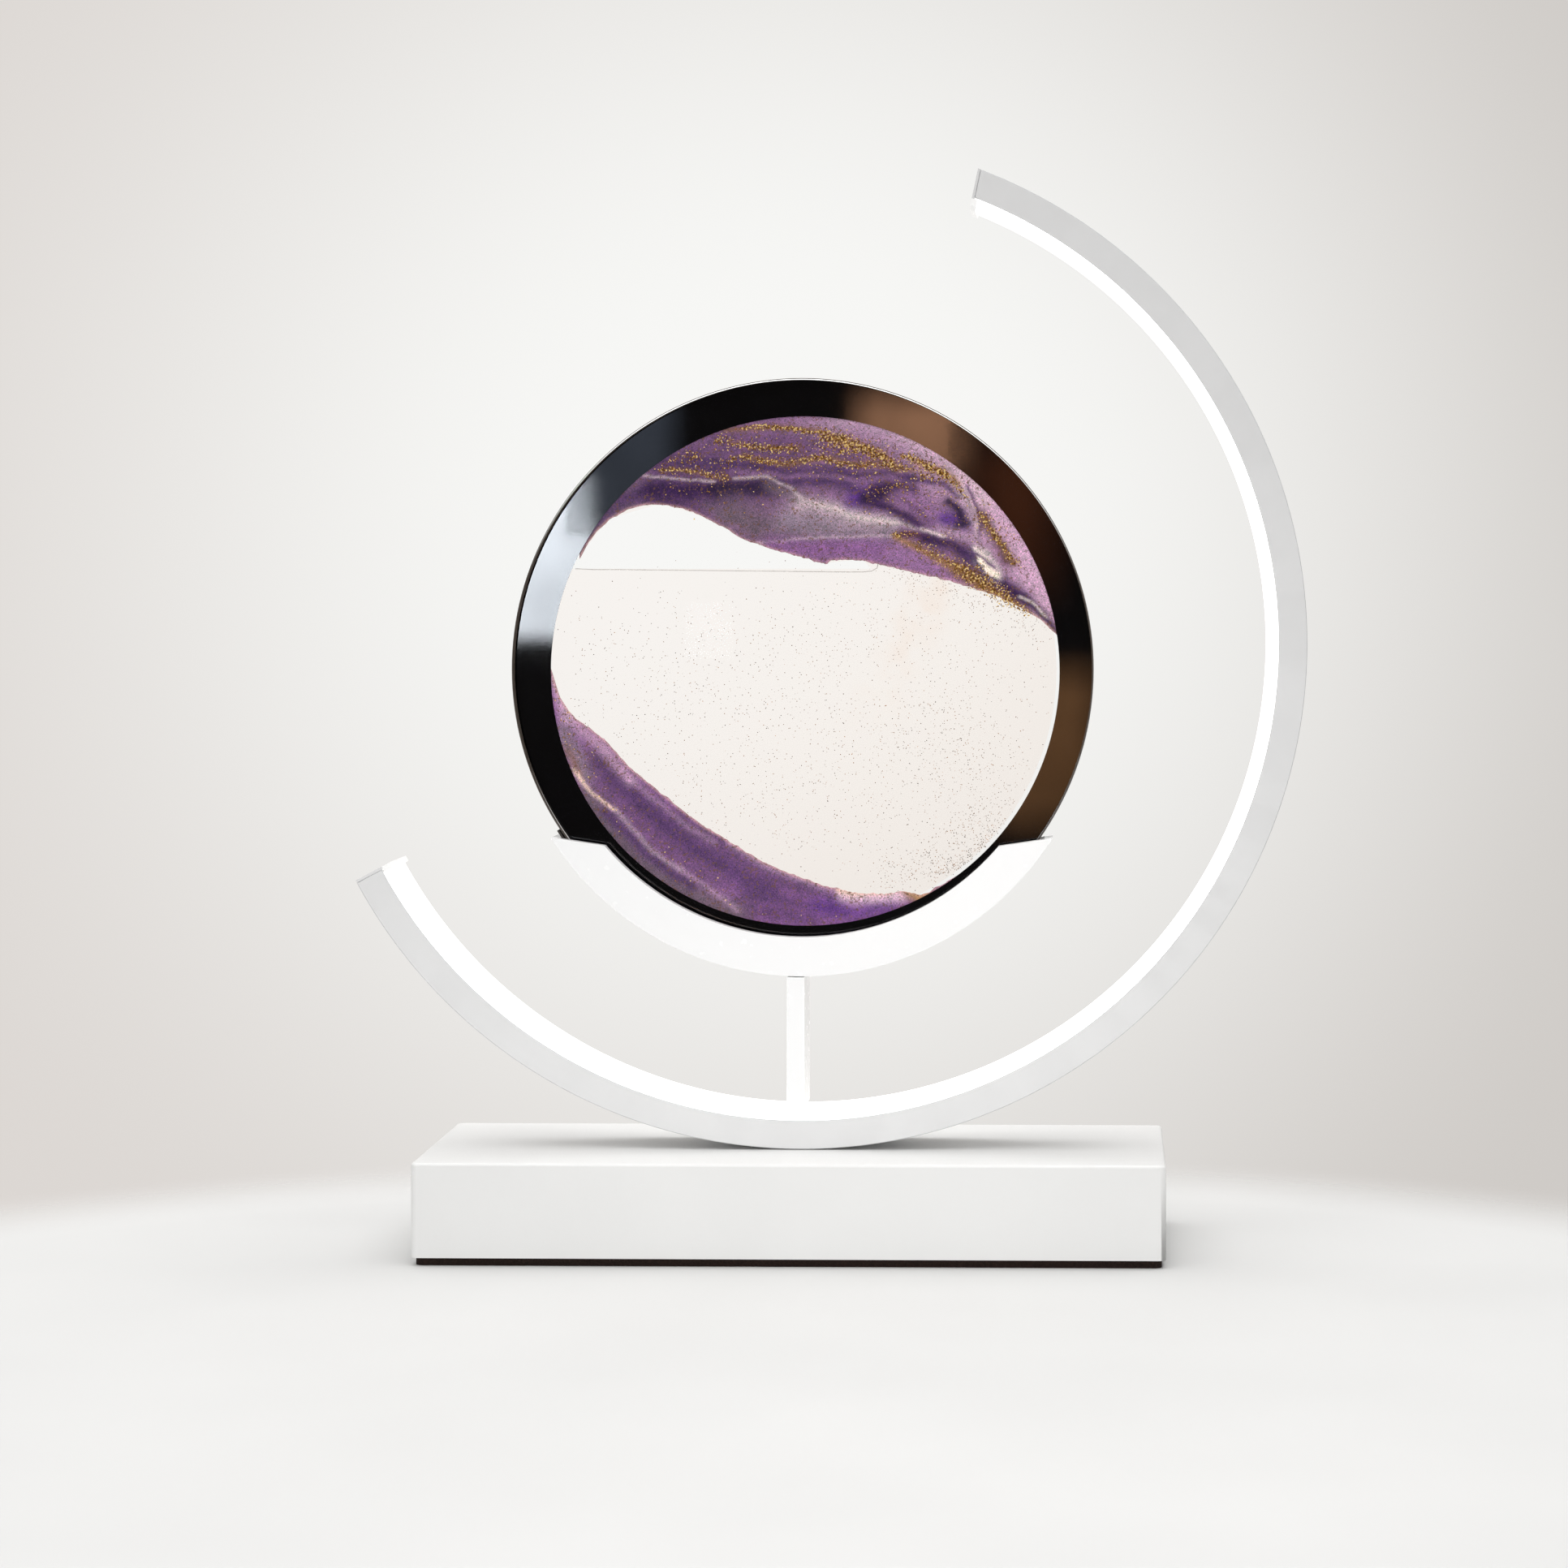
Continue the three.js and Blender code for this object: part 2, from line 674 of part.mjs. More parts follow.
// The cradle in the disc's frame: the crescent, the groove for the disc and the rods' blind holes
function cradle() {
  const half = cradleDepth / 2;
  let body = plate(crescent(), -half, half);
  body = body.subtract(barrel(grooveRadius, -grooveHalfWidth, grooveHalfWidth, 0, 0, discSteps));
  for (const [x, y] of rodPlaces) {
    const underside = cradleUnderside - discCentreHeight;
    body = body.subtract(post(boltHole, rodGrip + gap + overrun, x - ringShift, y, underside - overrun));
  }
  return body;
}

// A thin grey strip lines the groove. Its left end stands up past the horn
function grooveLiner() {
  const outer = linerInnerRadius + linerThickness;
  const half = grooveHalfWidth - gap;
  const level = Math.asin(hornTipDrop / outer);
  const left = level - linerLeftOverhang / outer;
  const shape = new THREE.Shape();
  shape.absarc(0, 0, outer, -level, left - Math.PI, true);
  shape.absarc(0, 0, linerInnerRadius, left - Math.PI, -level, false);
  return plate(shape, -half, half);
}

// Panes of glass, with the opaque mask printed as a ring behind each
function glassPane(side) {
  const inner = side * cavityThickness / 2;
  const outer = side * discThickness / 2;
  return roundPane(discRadius, Math.min(inner, outer), Math.max(inner, outer), glassBevel);
}

function annulus(innerRadius, outerRadius, yFront, yBack) {
  const section = [
    [innerRadius, yFront],
    [outerRadius, yFront],
    [outerRadius, yBack],
    [innerRadius, yBack],
  ];
  return hoop(section, discSteps);
}

function mask(side) {
  const inner = side * spacerThickness / 2;
  const outer = side * cavityThickness / 2;
  return annulus(windowRadius, discRadius - maskRimInset, Math.min(inner, outer), Math.max(inner, outer));
}

// The seal between the panes has a filling hole at the bottom, closed by a plug
const spacerOuterRadius = discRadius - 2 * maskRimInset;

function rimSeal() {
  const half = spacerThickness / 2;
  const seal = annulus(windowRadius + spacerWindowInset, spacerOuterRadius, -half, half);
  const length = spacerOuterRadius - windowRadius + overrun;
  return seal.subtract(post(plugRadius + gap, length, 0, 0, -spacerOuterRadius - overrun / 2));
}

function fillPlug() {
  return post(plugRadius, plugLength, 0, 0, gap - spacerOuterRadius);
}

// The sand's edges, as shares of the window's radius from its centre: X to the right, Z up
const upperSandShares = [
  [-0.881, 0.452], [-0.770, 0.593], [-0.563, 0.653], [-0.372, 0.593], [-0.232, 0.513],
  [-0.042, 0.456], [0.086, 0.418], [0.229, 0.434], [0.432, 0.386], [0.655, 0.329],
  [0.861, 0.243], [0.980, 0.150],
];
const lowerSandShares = [
  [0.640, -0.760], [0.500, -0.842], [0.356, -0.880], [0.133, -0.857], [-0.105, -0.777],
  [-0.328, -0.650], [-0.531, -0.507], [-0.697, -0.374], [-0.849, -0.224], [-0.929, -0.161],
  [-0.983, -0.049], [-0.994, 0.014],
];
const levelShare = 0.396;
const bubbleEndShare = 0.270;
const bubbleRimShare = 1.05;
const wallSpacingShare = 0.995;

function sandEdge(shares) {
  return shares.map(([x, z]) => new THREE.Vector2(x * windowRadius, z * windowRadius));
}

// A mass of sand lies between a wavy edge and the window's rim, close behind the front glass
function sandBody(shares) {
  const edge = sandEdge(shares);
  const rim = wallSpacingShare * windowRadius;
  const first = edge[0];
  const last = edge[edge.length - 1];
  const shape = new THREE.Shape();
  shape.absarc(0, 0, rim, Math.atan2(last.y, last.x), Math.atan2(first.y, first.x) + circleTurn(first, last), false);
  shape.splineThru(edge);
  const front = gap - cavityThickness / 2;
  return plate(shape, front, front + sandThickness, waveSteps);
}

// A full turn is added where the arc from the last point to the first passes the half turn
function circleTurn(first, last) {
  return Math.atan2(first.y, first.x) < Math.atan2(last.y, last.x) ? 2 * Math.PI : 0;
}

// The clear liquid fills the rest, up to the level line of the air trapped under the upper sand
function liquid() {
  const front = 2 * gap - cavityThickness / 2 + sandThickness;
  const back = cavityThickness / 2 - gap;
  const rim = wallSpacingShare * windowRadius;
  const full = barrel(rim, front, back, 0, 0, discSteps);
  const level = levelShare * windowRadius;
  const arch = sandEdge(upperSandShares.filter(([x]) => x < bubbleEndShare));
  const outside = arch[0].clone().multiplyScalar(bubbleRimShare);
  const bubble = polygon([
    new THREE.Vector2(-bubbleRimShare * windowRadius, level),
    new THREE.Vector2(bubbleEndShare * windowRadius, level),
    ...arch.slice().reverse(),
    outside,
  ]);
  return full.subtract(plate(bubble, front - overrun, back + overrun));
}

// Assembly
const lamp = new THREE.Group();
const base = new THREE.Group();
const ring = new THREE.Group();
const disc = new THREE.Group();
ring.position.set(ringShift, 0, ringCentreHeight);
disc.position.set(ringShift, 0, discCentreHeight);
lamp.add(base, ring, disc);

base.add(piece('base_shell', baseShell(), whitePaint));
base.add(piece('bottom_cover', bottomCover(), darkPlastic));
base.add(piece('base_pad', basePad(), blackFoam));
coverScrewPlaces.forEach(([x, y], i) => {
  const coverScrew = piece(`cover_screw_${i + 1}`, screw(coverScrewLength, 1, countersunk), steel);
  coverScrew.position.set(x, y, padThickness + gap);
  base.add(coverScrew);
});
[['left', -1], ['right', 1]].forEach(([side, sign]) => {
  const ballast = piece(
    `ballast_${side}`, slab(ballastWidth, ballastDepth, ballastThickness, padCornerRadius, 0), steel,
  );
  ballast.position.set(sign * (ballastInnerEnd + ballastWidth / 2), 0, coverTop);
  base.add(ballast);
});
base.add(piece('driver_board', driverBoard(), circuitGreen));
boardScrewPlaces.forEach(([x, y], i) => {
  const boardScrew = piece(`board_screw_${i + 1}`, screw(boardScrewLength, -1, pan), steel);
  boardScrew.position.set(x, y, boardTop + screwHeadHeight);
  base.add(boardScrew);
});
base.add(piece('power_inlet', powerInlet(), darkPlastic));
base.add(piece('switch_body', switchBody(), darkPlastic));
const button = piece('switch_button', switchButton(), whiteCast);
button.position.set(buttonX, 0, socketHeight);
base.add(button);
base.add(piece('led_lead', ledLead(), whiteCast));

ring.add(piece('ring_profile', ringProfile(), whiteCoat));
ring.add(piece('ring_diffuser', ringDiffuser(), milky));
ring.add(piece('led_strip', ledStrip(), whiteCast));
ring.add(piece('ring_end_cap_top', endCap(topCut), milky));
ring.add(piece('ring_end_cap_left', endCap(leftCut), milky));

const ringScrewTop = ringCentreHeight - channelFloorRadius + screwHeadHeight + seat;
const ringScrewLength = ringScrewTop - rodBottom;
ringScrewPlaces.forEach(([x, y], i) => {
  const ringScrew = piece(`ring_screw_${i + 1}`, screw(ringScrewLength, -1, pan), steel);
  const edge = Math.abs(x - ringShift) + screwHeadRadius;
  const rise = channelFloorRadius - Math.sqrt(channelFloorRadius ** 2 - edge ** 2);
  ringScrew.position.set(x, y, ringScrewTop + rise);
  base.add(ringScrew);
});
[...rodPlaces, ...ringScrewPlaces].forEach(([x, y], i) => {
  const names = ['stem_nut_front', 'stem_nut_rear', 'ring_nut_1', 'ring_nut_2'];
  const fixing = piece(names[i], nut(), steel);
  fixing.position.set(x, y, ceilingUnderside - nutHeight);
  base.add(fixing);
});

lamp.add(piece('stem', stem(), whiteCast));
rodPlaces.forEach(([x, y], i) => {
  const rod = piece(`tie_rod_${['front', 'rear'][i]}`, post(screwRadius, rodTop - rodBottom, 0, 0, 0), steel);
  rod.position.set(x, y, rodBottom);
  lamp.add(rod);
});

disc.add(piece('cradle', cradle(), whiteCast));
disc.add(piece('groove_liner', grooveLiner(), greyLiner));
disc.add(piece('front_glass', glassPane(-1), clearGlass));
disc.add(piece('rear_glass', glassPane(1), clearGlass));
disc.add(piece('front_mask', mask(-1), mirrorBlack));
disc.add(piece('rear_mask', mask(1), mirrorBlack));
disc.add(piece('rim_seal', rimSeal(), blackSeal));
disc.add(piece('fill_plug', fillPlug(), blackSeal));
disc.add(piece('sand_upper', sandBody(upperSandShares), purpleSand));
disc.add(piece('sand_lower', sandBody(lowerSandShares), deepPurpleSand));
disc.add(piece('liquid', liquid(), clearLiquid));

export default lamp;
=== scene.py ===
# %% [markdown]
# # An accent lamp: a C of light round a glass disc of moving sand
#
# The lamp stands on a hollow white block. A bent aluminium channel with a milky cover makes a
# ring of light that is open at the upper left. A slim stem rises through the ring and carries a
# grooved cradle, and in the groove sits a round glass cell with sand and liquid in it.
#
# The solid model of the lamp is loaded as a fixed frame. This script dresses it: round pieces
# are made again with finer steps and softer edges, and every surface gets a finish.

import math

import bmesh
import bpy
import numpy as np
from mathutils import Matrix, Vector, noise


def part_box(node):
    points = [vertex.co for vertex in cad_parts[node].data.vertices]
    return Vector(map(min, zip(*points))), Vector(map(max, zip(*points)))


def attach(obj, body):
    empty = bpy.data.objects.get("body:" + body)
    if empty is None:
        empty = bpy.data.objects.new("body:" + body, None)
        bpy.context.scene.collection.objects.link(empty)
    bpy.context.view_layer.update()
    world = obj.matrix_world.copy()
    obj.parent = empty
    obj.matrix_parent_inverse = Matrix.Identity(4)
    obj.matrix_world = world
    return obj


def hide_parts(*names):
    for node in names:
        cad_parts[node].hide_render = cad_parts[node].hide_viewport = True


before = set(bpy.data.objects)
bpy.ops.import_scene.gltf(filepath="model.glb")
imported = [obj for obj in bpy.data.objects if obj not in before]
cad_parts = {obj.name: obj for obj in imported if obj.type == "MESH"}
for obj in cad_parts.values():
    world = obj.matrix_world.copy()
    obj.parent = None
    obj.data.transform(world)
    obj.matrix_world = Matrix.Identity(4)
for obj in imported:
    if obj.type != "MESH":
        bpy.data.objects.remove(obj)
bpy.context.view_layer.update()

# %% [markdown]
# ## Units and colours
#
# Blender works in metres, but a lamp is easier to describe in millimetres, so one factor turns
# millimetres into metres. Colours are written as the hex values that a paint chart or a
# photograph gives. Those are sRGB values, and Blender's sockets want linear light, so one
# function turns them over.

# %% Units and colours
MM = 0.001


def linear(hex_colour):
    """An sRGB hex colour as linear red, green and blue, and an alpha of one."""
    parts = [int(hex_colour[i:i + 2], 16) / 255 for i in (1, 3, 5)]
    light = [c / 12.92 if c <= 0.04045 else ((c + 0.055) / 1.055) ** 2.4 for c in parts]
    return (*light, 1.0)


print("middle grey is", round(linear("#808080")[0], 3), "in linear light")

# %% [markdown]
# ## The camera
#
# The lamp was photographed from a little right of its middle, from just above the disc, with a
# longish lens about 1.1 m away. The camera is turned a little towards the lamp, and the rest of
# the framing is lens shift, which keeps the ring round instead of stretching it to an ellipse.

# %% Camera
IMAGE_SIDE = 1932
focal_pixels = 4389
camera_place = Vector((94.5, -1107.5, 208.3)) * MM
turn_left, tip_down = math.radians(1.25), math.radians(0.9)
shift_right, shift_up = -0.1529, -0.0972

camera_data = bpy.data.cameras.new("photograph_camera")
camera_data.sensor_width = 36
camera_data.lens = focal_pixels / IMAGE_SIDE * camera_data.sensor_width
camera_data.shift_x, camera_data.shift_y = shift_right, shift_up
camera_data.clip_end = 20
camera = bpy.data.objects.new("photograph_camera", camera_data)
bpy.context.collection.objects.link(camera)
camera.location = camera_place
camera.rotation_euler = (math.pi / 2 - tip_down, 0, turn_left)
bpy.context.scene.camera = camera
print("lens", round(camera_data.lens, 1), "mm")

# %% [markdown]
# ## Making materials
#
# Every finish here starts with a Principled shader, which holds the numbers that are the same
# all over a surface. Patterns come from other nodes, and one function adds any node with its
# settings and links. A hex colour, a number, a socket or a whole node can be plugged in.

# %% Material helpers
def plug(source, node, name):
    """Plug a value, a hex colour, a socket or a node's first open output into an input."""
    if isinstance(name, int):
        socket = node.inputs[name]
    else:
        socket = next(s for s in node.inputs if s.name == name and s.enabled)
    if isinstance(source, bpy.types.Node):
        source = next(s for s in source.outputs if s.enabled)
    if isinstance(source, bpy.types.NodeSocket):
        node.id_data.links.new(source, socket)
    else:
        socket.default_value = linear(source) if isinstance(source, str) else source


def add_node(tree, kind, settings=None, inputs=None):
    """Add one node with its settings, and plug in its inputs."""
    made = tree.nodes.new(kind)
    for name, value in (settings or {}).items():
        setattr(made, name, value)
    for name, value in (inputs or {}).items():
        plug(value, made, name)
    return made


def new_material(name, values):
    """A material with one Principled shader, and the values for that shader's sockets."""
    material = bpy.data.materials.new(name)
    material.use_nodes = True
    tree = material.node_tree
    tree.nodes.clear()
    shader = add_node(tree, "ShaderNodeBsdfPrincipled", inputs=values)
    add_node(tree, "ShaderNodeOutputMaterial", inputs={"Surface": shader})
    print("finish:", name)
    return material, tree, shader


def show(tree, surface):
    """Let the material show this shader in place of the plain Principled one."""
    output = next(n for n in tree.nodes if n.type == "OUTPUT_MATERIAL")
    plug(surface, output, "Surface")


# %% [markdown]
# Patterns read Object coordinates in millimetres, so that a grain of 0.4 mm is 0.4 mm on every
# piece. Most real coats and mouldings differ from place to place only a little and without
# order, and noise gives that. Noise stays near its middle, so each pattern says between which
# two values of the noise it runs from one end to the other: the wider they lie, the fainter
# it looks.

# %% Patterns from noise
FAINT, SOFT, CLEAR = (0, 1), (0.3, 0.7), (0.35, 0.65)


def millimetres(tree, centre=(0, 0, 0)):
    """Object coordinates in millimetres, counted from a centre that is given in metres."""
    coordinates = add_node(tree, "ShaderNodeTexCoord")
    return add_node(tree, "ShaderNodeMapping", {}, {
        "Vector": coordinates.outputs["Object"],
        "Location": [-c / MM for c in centre],
        "Scale": (1 / MM, 1 / MM, 1 / MM),
    })


def mottle(tree, place, size_mm, start, end, ends=SOFT, detail=2, roughness=0.5):
    """A number or a colour that drifts from start to end over lumps about size_mm across."""
    lumps = add_node(tree, "ShaderNodeTexNoise", {}, {
        "Vector": place, "Scale": 1 / size_mm, "Detail": detail, "Roughness": roughness,
    })
    drift = add_node(tree, "ShaderNodeMapRange", {}, {
        "Value": lumps, "From Min": ends[0], "From Max": ends[1],
    })
    if isinstance(start, (int, float)):
        plug(start, drift, "To Min")
        plug(end, drift, "To Max")
        return drift
    return add_node(tree, "ShaderNodeMix", {"data_type": "RGBA"}, {
        "Factor": drift, "A": start, "B": end,
    })


def emboss(tree, place, shader, size_mm, depth_mm, detail=2):
    """Let lumps of a real size and depth tilt the shader's normal."""
    lumps = add_node(tree, "ShaderNodeTexNoise", {}, {
        "Vector": place, "Scale": 1 / size_mm, "Detail": detail,
    })
    bump = add_node(tree, "ShaderNodeBump", {}, {"Height": lumps, "Distance": depth_mm * MM})
    plug(bump, shader, "Normal")


def mottled_material(name, values, size_mm, start, end, ends=FAINT, detail=2):
    """A material of which only the base colour changes from place to place."""
    material, tree, shader = new_material(name, values)
    colour = mottle(tree, millimetres(tree), size_mm, start, end, ends, detail)
    plug(colour, shader, "Base Color")
    return material


# %% [markdown]
# ## Paint: powder-coated steel
#
# The base block is sheet steel with a white powder coat. Powder melts into a skin with a very
# fine orange peel, which spreads the highlight without making the block look rough. The lumps
# of a real coat are near 0.5 mm; here they are 0.8 mm, so that they show.

# %% Powder-coated steel
powder_coat, tree, shader = new_material("powder_coated_steel", {
    "IOR": 1.5, "Coat Weight": 0.1, "Coat Roughness": 0.3,
})
place = millimetres(tree)
cloud_mm, peel_mm = 45, 0.8
plug(mottle(tree, place, cloud_mm, "#DFDFDE", "#E1E1E0", CLEAR, 3), shader, "Base Color")
plug(mottle(tree, place, peel_mm, 0.36, 0.5), shader, "Roughness")
emboss(tree, place, shader, peel_mm, depth_mm=0.012)

# %% [markdown]
# ## Paint: wet-sprayed aluminium
#
# The bent channel is extruded aluminium with a thin satin lacquer. Its flat front is a shade
# greyer than the base. Bending leaves it smooth, so there is only a faint cloudiness. Its sharp
# edges are rounded and coloured a darker grey: a painted shade that outlines the ring.

# %% Lacquered aluminium
lacquer, tree, shader = new_material("lacquered_aluminium", {
    "IOR": 1.5, "Coat Weight": 0.15, "Coat Roughness": 0.25,
})
place = millimetres(tree)
cloud_mm, speck_mm = 18, 0.5
plug(mottle(tree, place, cloud_mm, "#DADADA", "#DDDDDD", CLEAR, 4), shader, "Base Color")
plug(mottle(tree, place, cloud_mm, 0.32, 0.44, detail=4), shader, "Roughness")
emboss(tree, place, shader, speck_mm, depth_mm=0.002)

# Painted shade: a darker grey for the channel's rounded edges, which outlines the ring.
painted_edge_shade = mottled_material(
    "painted_edge_shade_grey", {"Roughness": 0.4, "IOR": 1.5}, 4, "#B9BABB", "#C9CACB",
)

# %% [markdown]
# ## Plastic: gloss ABS
#
# The cradle, the stem and the push button are moulded ABS with a polished skin. The mould
# leaves a slow waviness that bends reflections a little, and no grain.

# %% Gloss ABS
gloss_abs, tree, shader = new_material("gloss_white_abs", {
    "Base Color": "#EFEFEF", "IOR": 1.53,
})
place = millimetres(tree)
haze_mm, wave_mm = 3, 14
plug(mottle(tree, place, haze_mm, 0.2, 0.28), shader, "Roughness")
emboss(tree, place, shader, wave_mm, depth_mm=0.03, detail=1)

# %% [markdown]
# ## Light: opal acrylic
#
# The cover of the channel is opal acrylic with a strip of emitters behind it. Lit, it shows as
# an even white, so the acrylic itself gives the light here. It is kept just brighter than
# white, so that its edge stays smooth, and it dips a little over the gaps between emitters.
# The tabs of the end caps are of the same acrylic, but only stray light reaches them: their
# milky grey is a painted shade, and their faint glow is painted stray light.

# %% Opal acrylic
opal, tree, shader = new_material("opal_acrylic_lit", {
    "Base Color": "#FDFDFC", "Roughness": 0.35, "IOR": 1.49, "Emission Color": "#FFFEFC",
})
place = millimetres(tree)
emitter_mm, skin_mm = 13, 0.6
plug(mottle(tree, place, emitter_mm, 1.15, 1.3, detail=0), shader, "Emission Strength")
emboss(tree, place, shader, skin_mm, depth_mm=0.004)

# Painted shade and glow: the tabs' grey colour and weak emission stand for the stray light on
# them.
tab_painted_glow_and_shade = mottled_material("opal_tab_painted_glow_and_shade", {
    "Roughness": 0.4, "IOR": 1.49, "Emission Color": "#FFFEFC", "Emission Strength": 0.5,
}, 2.5, "#AEAEAD", "#BCBCBB")

# %% [markdown]
# ## Small materials
#
# Under the block lies a dense black foam, whose cut cells swallow light. The cover plate, inlet
# and switch are matt ABS: its fine spark-eroded grain breaks every highlight up. The filling
# plug and the seal are black silicone, which looks soft and dull. The tape in the groove is a
# grey foam, and its open pores give it a felty look.

# %% Foam, matt plastic, silicone, tape
foam, tree, shader = new_material("eva_foam", {"Roughness": 0.92, "IOR": 1.4})
cell_mm, cell_depth_mm = 0.6, 0.15
cells = add_node(tree, "ShaderNodeTexVoronoi", {}, {
    "Vector": millimetres(tree), "Scale": 1 / cell_mm,
})
colour = add_node(tree, "ShaderNodeMix", {"data_type": "RGBA"}, {
    "Factor": cells, "A": "#170F0C", "B": "#2B1D18",
})
bump = add_node(tree, "ShaderNodeBump", {}, {"Height": cells, "Distance": cell_depth_mm * MM})
plug(colour, shader, "Base Color")
plug(bump, shader, "Normal")

matt_abs, tree, shader = new_material("matt_black_abs", {"IOR": 1.53})
place = millimetres(tree)
spark_mm = 0.35
plug(mottle(tree, place, spark_mm, "#1B1C1E", "#2A2B2D", FAINT, 3), shader, "Base Color")
plug(mottle(tree, place, spark_mm, 0.5, 0.66, detail=3), shader, "Roughness")
emboss(tree, place, shader, spark_mm, depth_mm=0.03, detail=3)

silicone = mottled_material(
    "black_silicone", {"Roughness": 0.6, "IOR": 1.41}, 0.8, "#0A0A0B", "#161617",
)

felt, tree, shader = new_material("grey_pe_foam_tape", {"Roughness": 0.85, "IOR": 1.45})
place = millimetres(tree)
pore_mm = 0.5
plug(mottle(tree, place, pore_mm, "#2B2725", "#4A4541", FAINT, 3), shader, "Base Color")
emboss(tree, place, shader, pore_mm, depth_mm=0.08, detail=3)

# %% [markdown]
# Screws, rods and ballast are zinc-plated steel: a metal with a slightly blue, cloudy sheen.
# The driver board is glass-fibre laminate, whose weave shows through its green mask. The light
# strip and its lead are white polyimide, thin and a little uneven.

# %% Plated steel, laminate, strip
zinc, tree, shader = new_material("zinc_plated_steel", {"Metallic": 1.0})
place = millimetres(tree)
spangle_mm = 2.5
plug(mottle(tree, place, spangle_mm, "#9EA3A8", "#C6C8C9", FAINT, 4), shader, "Base Color")
plug(mottle(tree, place, spangle_mm, 0.26, 0.42, detail=4), shader, "Roughness")

laminate, tree, shader = new_material("solder_mask_laminate", {"Roughness": 0.35, "IOR": 1.5})
weave_mm = 1.8
weave = add_node(tree, "ShaderNodeTexBrick", {}, {
    "Vector": millimetres(tree), "Scale": 1 / weave_mm, "Mortar Size": 0.06,
    "Color1": "#1C6A40", "Color2": "#175B37", "Mortar": "#2E8A57",
})
plug(weave, shader, "Base Color")

strip_white = mottled_material(
    "white_polyimide_strip", {"Roughness": 0.5, "IOR": 1.5}, 1.2, "#E6E6E2", "#F2F2EF",
)

# %% [markdown]
# ## Glass
#
# The panes are 3 mm float glass with an anti-glare coat. They are flat and thin, so nothing
# seen through them moves: light goes straight through, and a small part, which grows towards a
# glancing view, is mirrored at the side that faces the eye. A Fresnel node gives that part.

# %% Float glass
glass, tree, shader = new_material("float_glass", {
    "Base Color": "#FFFFFF", "Metallic": 1.0, "Roughness": 0.01,
})
coated_glass_ior = 1.06
mirrored_part = add_node(tree, "ShaderNodeFresnel", {}, {"IOR": coated_glass_ior})
side = add_node(tree, "ShaderNodeNewGeometry")
outside = add_node(tree, "ShaderNodeMath", {"operation": "SUBTRACT"}, {
    0: 1.0, 1: side.outputs["Backfacing"],
})
share = add_node(tree, "ShaderNodeMath", {"operation": "MULTIPLY"}, {
    0: mirrored_part, 1: outside,
})
clear = add_node(tree, "ShaderNodeBsdfTransparent")
show(tree, add_node(tree, "ShaderNodeMixShader", {}, {0: share, 1: clear, 2: shader}))

# %% [markdown]
# A pane's edge is ground to a small round. It looks dark, because light leaves the glass
# there, and that dark is a painted shade in its colour. Only where it faces up does the inner
# half shine: a painted highlight with a faint glow, which draws a fine bright line along the top
# of the disc.

# %% Edges of the panes
# Painted highlight: the bevel turns white and glows where it faces up, and is dark elsewhere.
bevel_painted_highlight, tree, shader = new_material("glass_bevel_painted_highlight", {
    "Roughness": 0.12, "IOR": 1.5, "Emission Color": "#FFFFFF",
})
side = add_node(tree, "ShaderNodeNewGeometry")
tilt = add_node(tree, "ShaderNodeSeparateXYZ", {}, {"Vector": side.outputs["Normal"]})
dark_below, bright_above, painted_glint_strength, cloud_mm = 0.08, 0.2, 0.8, 9
facing_up = add_node(tree, "ShaderNodeMapRange", {}, {
    "Value": tilt.outputs["Z"], "From Min": dark_below, "From Max": bright_above,
})
cloud = mottle(tree, millimetres(tree), cloud_mm, "#DADDDD", "#FFFFFF", FAINT)
colour = add_node(tree, "ShaderNodeMix", {"data_type": "RGBA"}, {
    "Factor": facing_up, "A": "#4A423C", "B": cloud,
})
painted_glint = add_node(tree, "ShaderNodeMath", {"operation": "MULTIPLY"}, {
    0: facing_up, 1: painted_glint_strength,
})
plug(colour, shader, "Base Color")
plug(painted_glint, shader, "Emission Strength")

# Painted shade: the outer half of the rim is coloured dark, where light leaves the glass.
bevel_painted_shade = mottled_material(
    "glass_edge_painted_shade", {"Roughness": 0.3, "IOR": 1.5}, 7, "#2A2320", "#4B423C",
)

# %% [markdown]
# Behind each pane a gloss black print hides the seal. It takes in nearly all light, and its
# smooth skin mirrors a twentieth of it: so it looks black, with soft bands where something
# bright is mirrored.

# %% Black mirror coat
mirror_coat = mottled_material(
    "black_mirror_coat", {"IOR": 1.6, "Roughness": 0.03}, 6, "#020203", "#050506",
)

# %% [markdown]
# ## Building pieces
#
# A new piece is built in a bmesh, which is a mesh that can be edited step by step. When it is
# done it becomes an object whose place is in its vertices, it is given to the body it moves
# with, and the solids of the frame that it stands for are hidden.

# %% Piece helpers
def to_object(name, shape, *materials):
    """Turn a finished bmesh into an object with these materials."""
    mesh = bpy.data.meshes.new(name)
    shape.to_mesh(mesh)
    shape.free()
    for material in materials:
        mesh.materials.append(material)
    made = bpy.data.objects.new(name, mesh)
    bpy.context.collection.objects.link(made)
    return made


def to_piece(name, shape, materials, body, replaced, smooth=40):
    """Turn a finished bmesh into a piece of the lamp, smooth but for its sharper edges."""
    piece = to_object(name, shape, *materials)
    mesh = piece.data
    for polygon in mesh.polygons:
        polygon.use_smooth = True
    mesh.set_sharp_from_angle(angle=math.radians(smooth))
    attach(piece, body)
    if replaced:
        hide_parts(*replaced)
    print(name, len(mesh.polygons), "faces")
    return piece


def keep_flats(piece):
    """Shade flat faces flat, up to their softened edges."""
    flats = piece.modifiers.new("flat_normals", "WEIGHTED_NORMAL")
    flats.keep_sharp = True


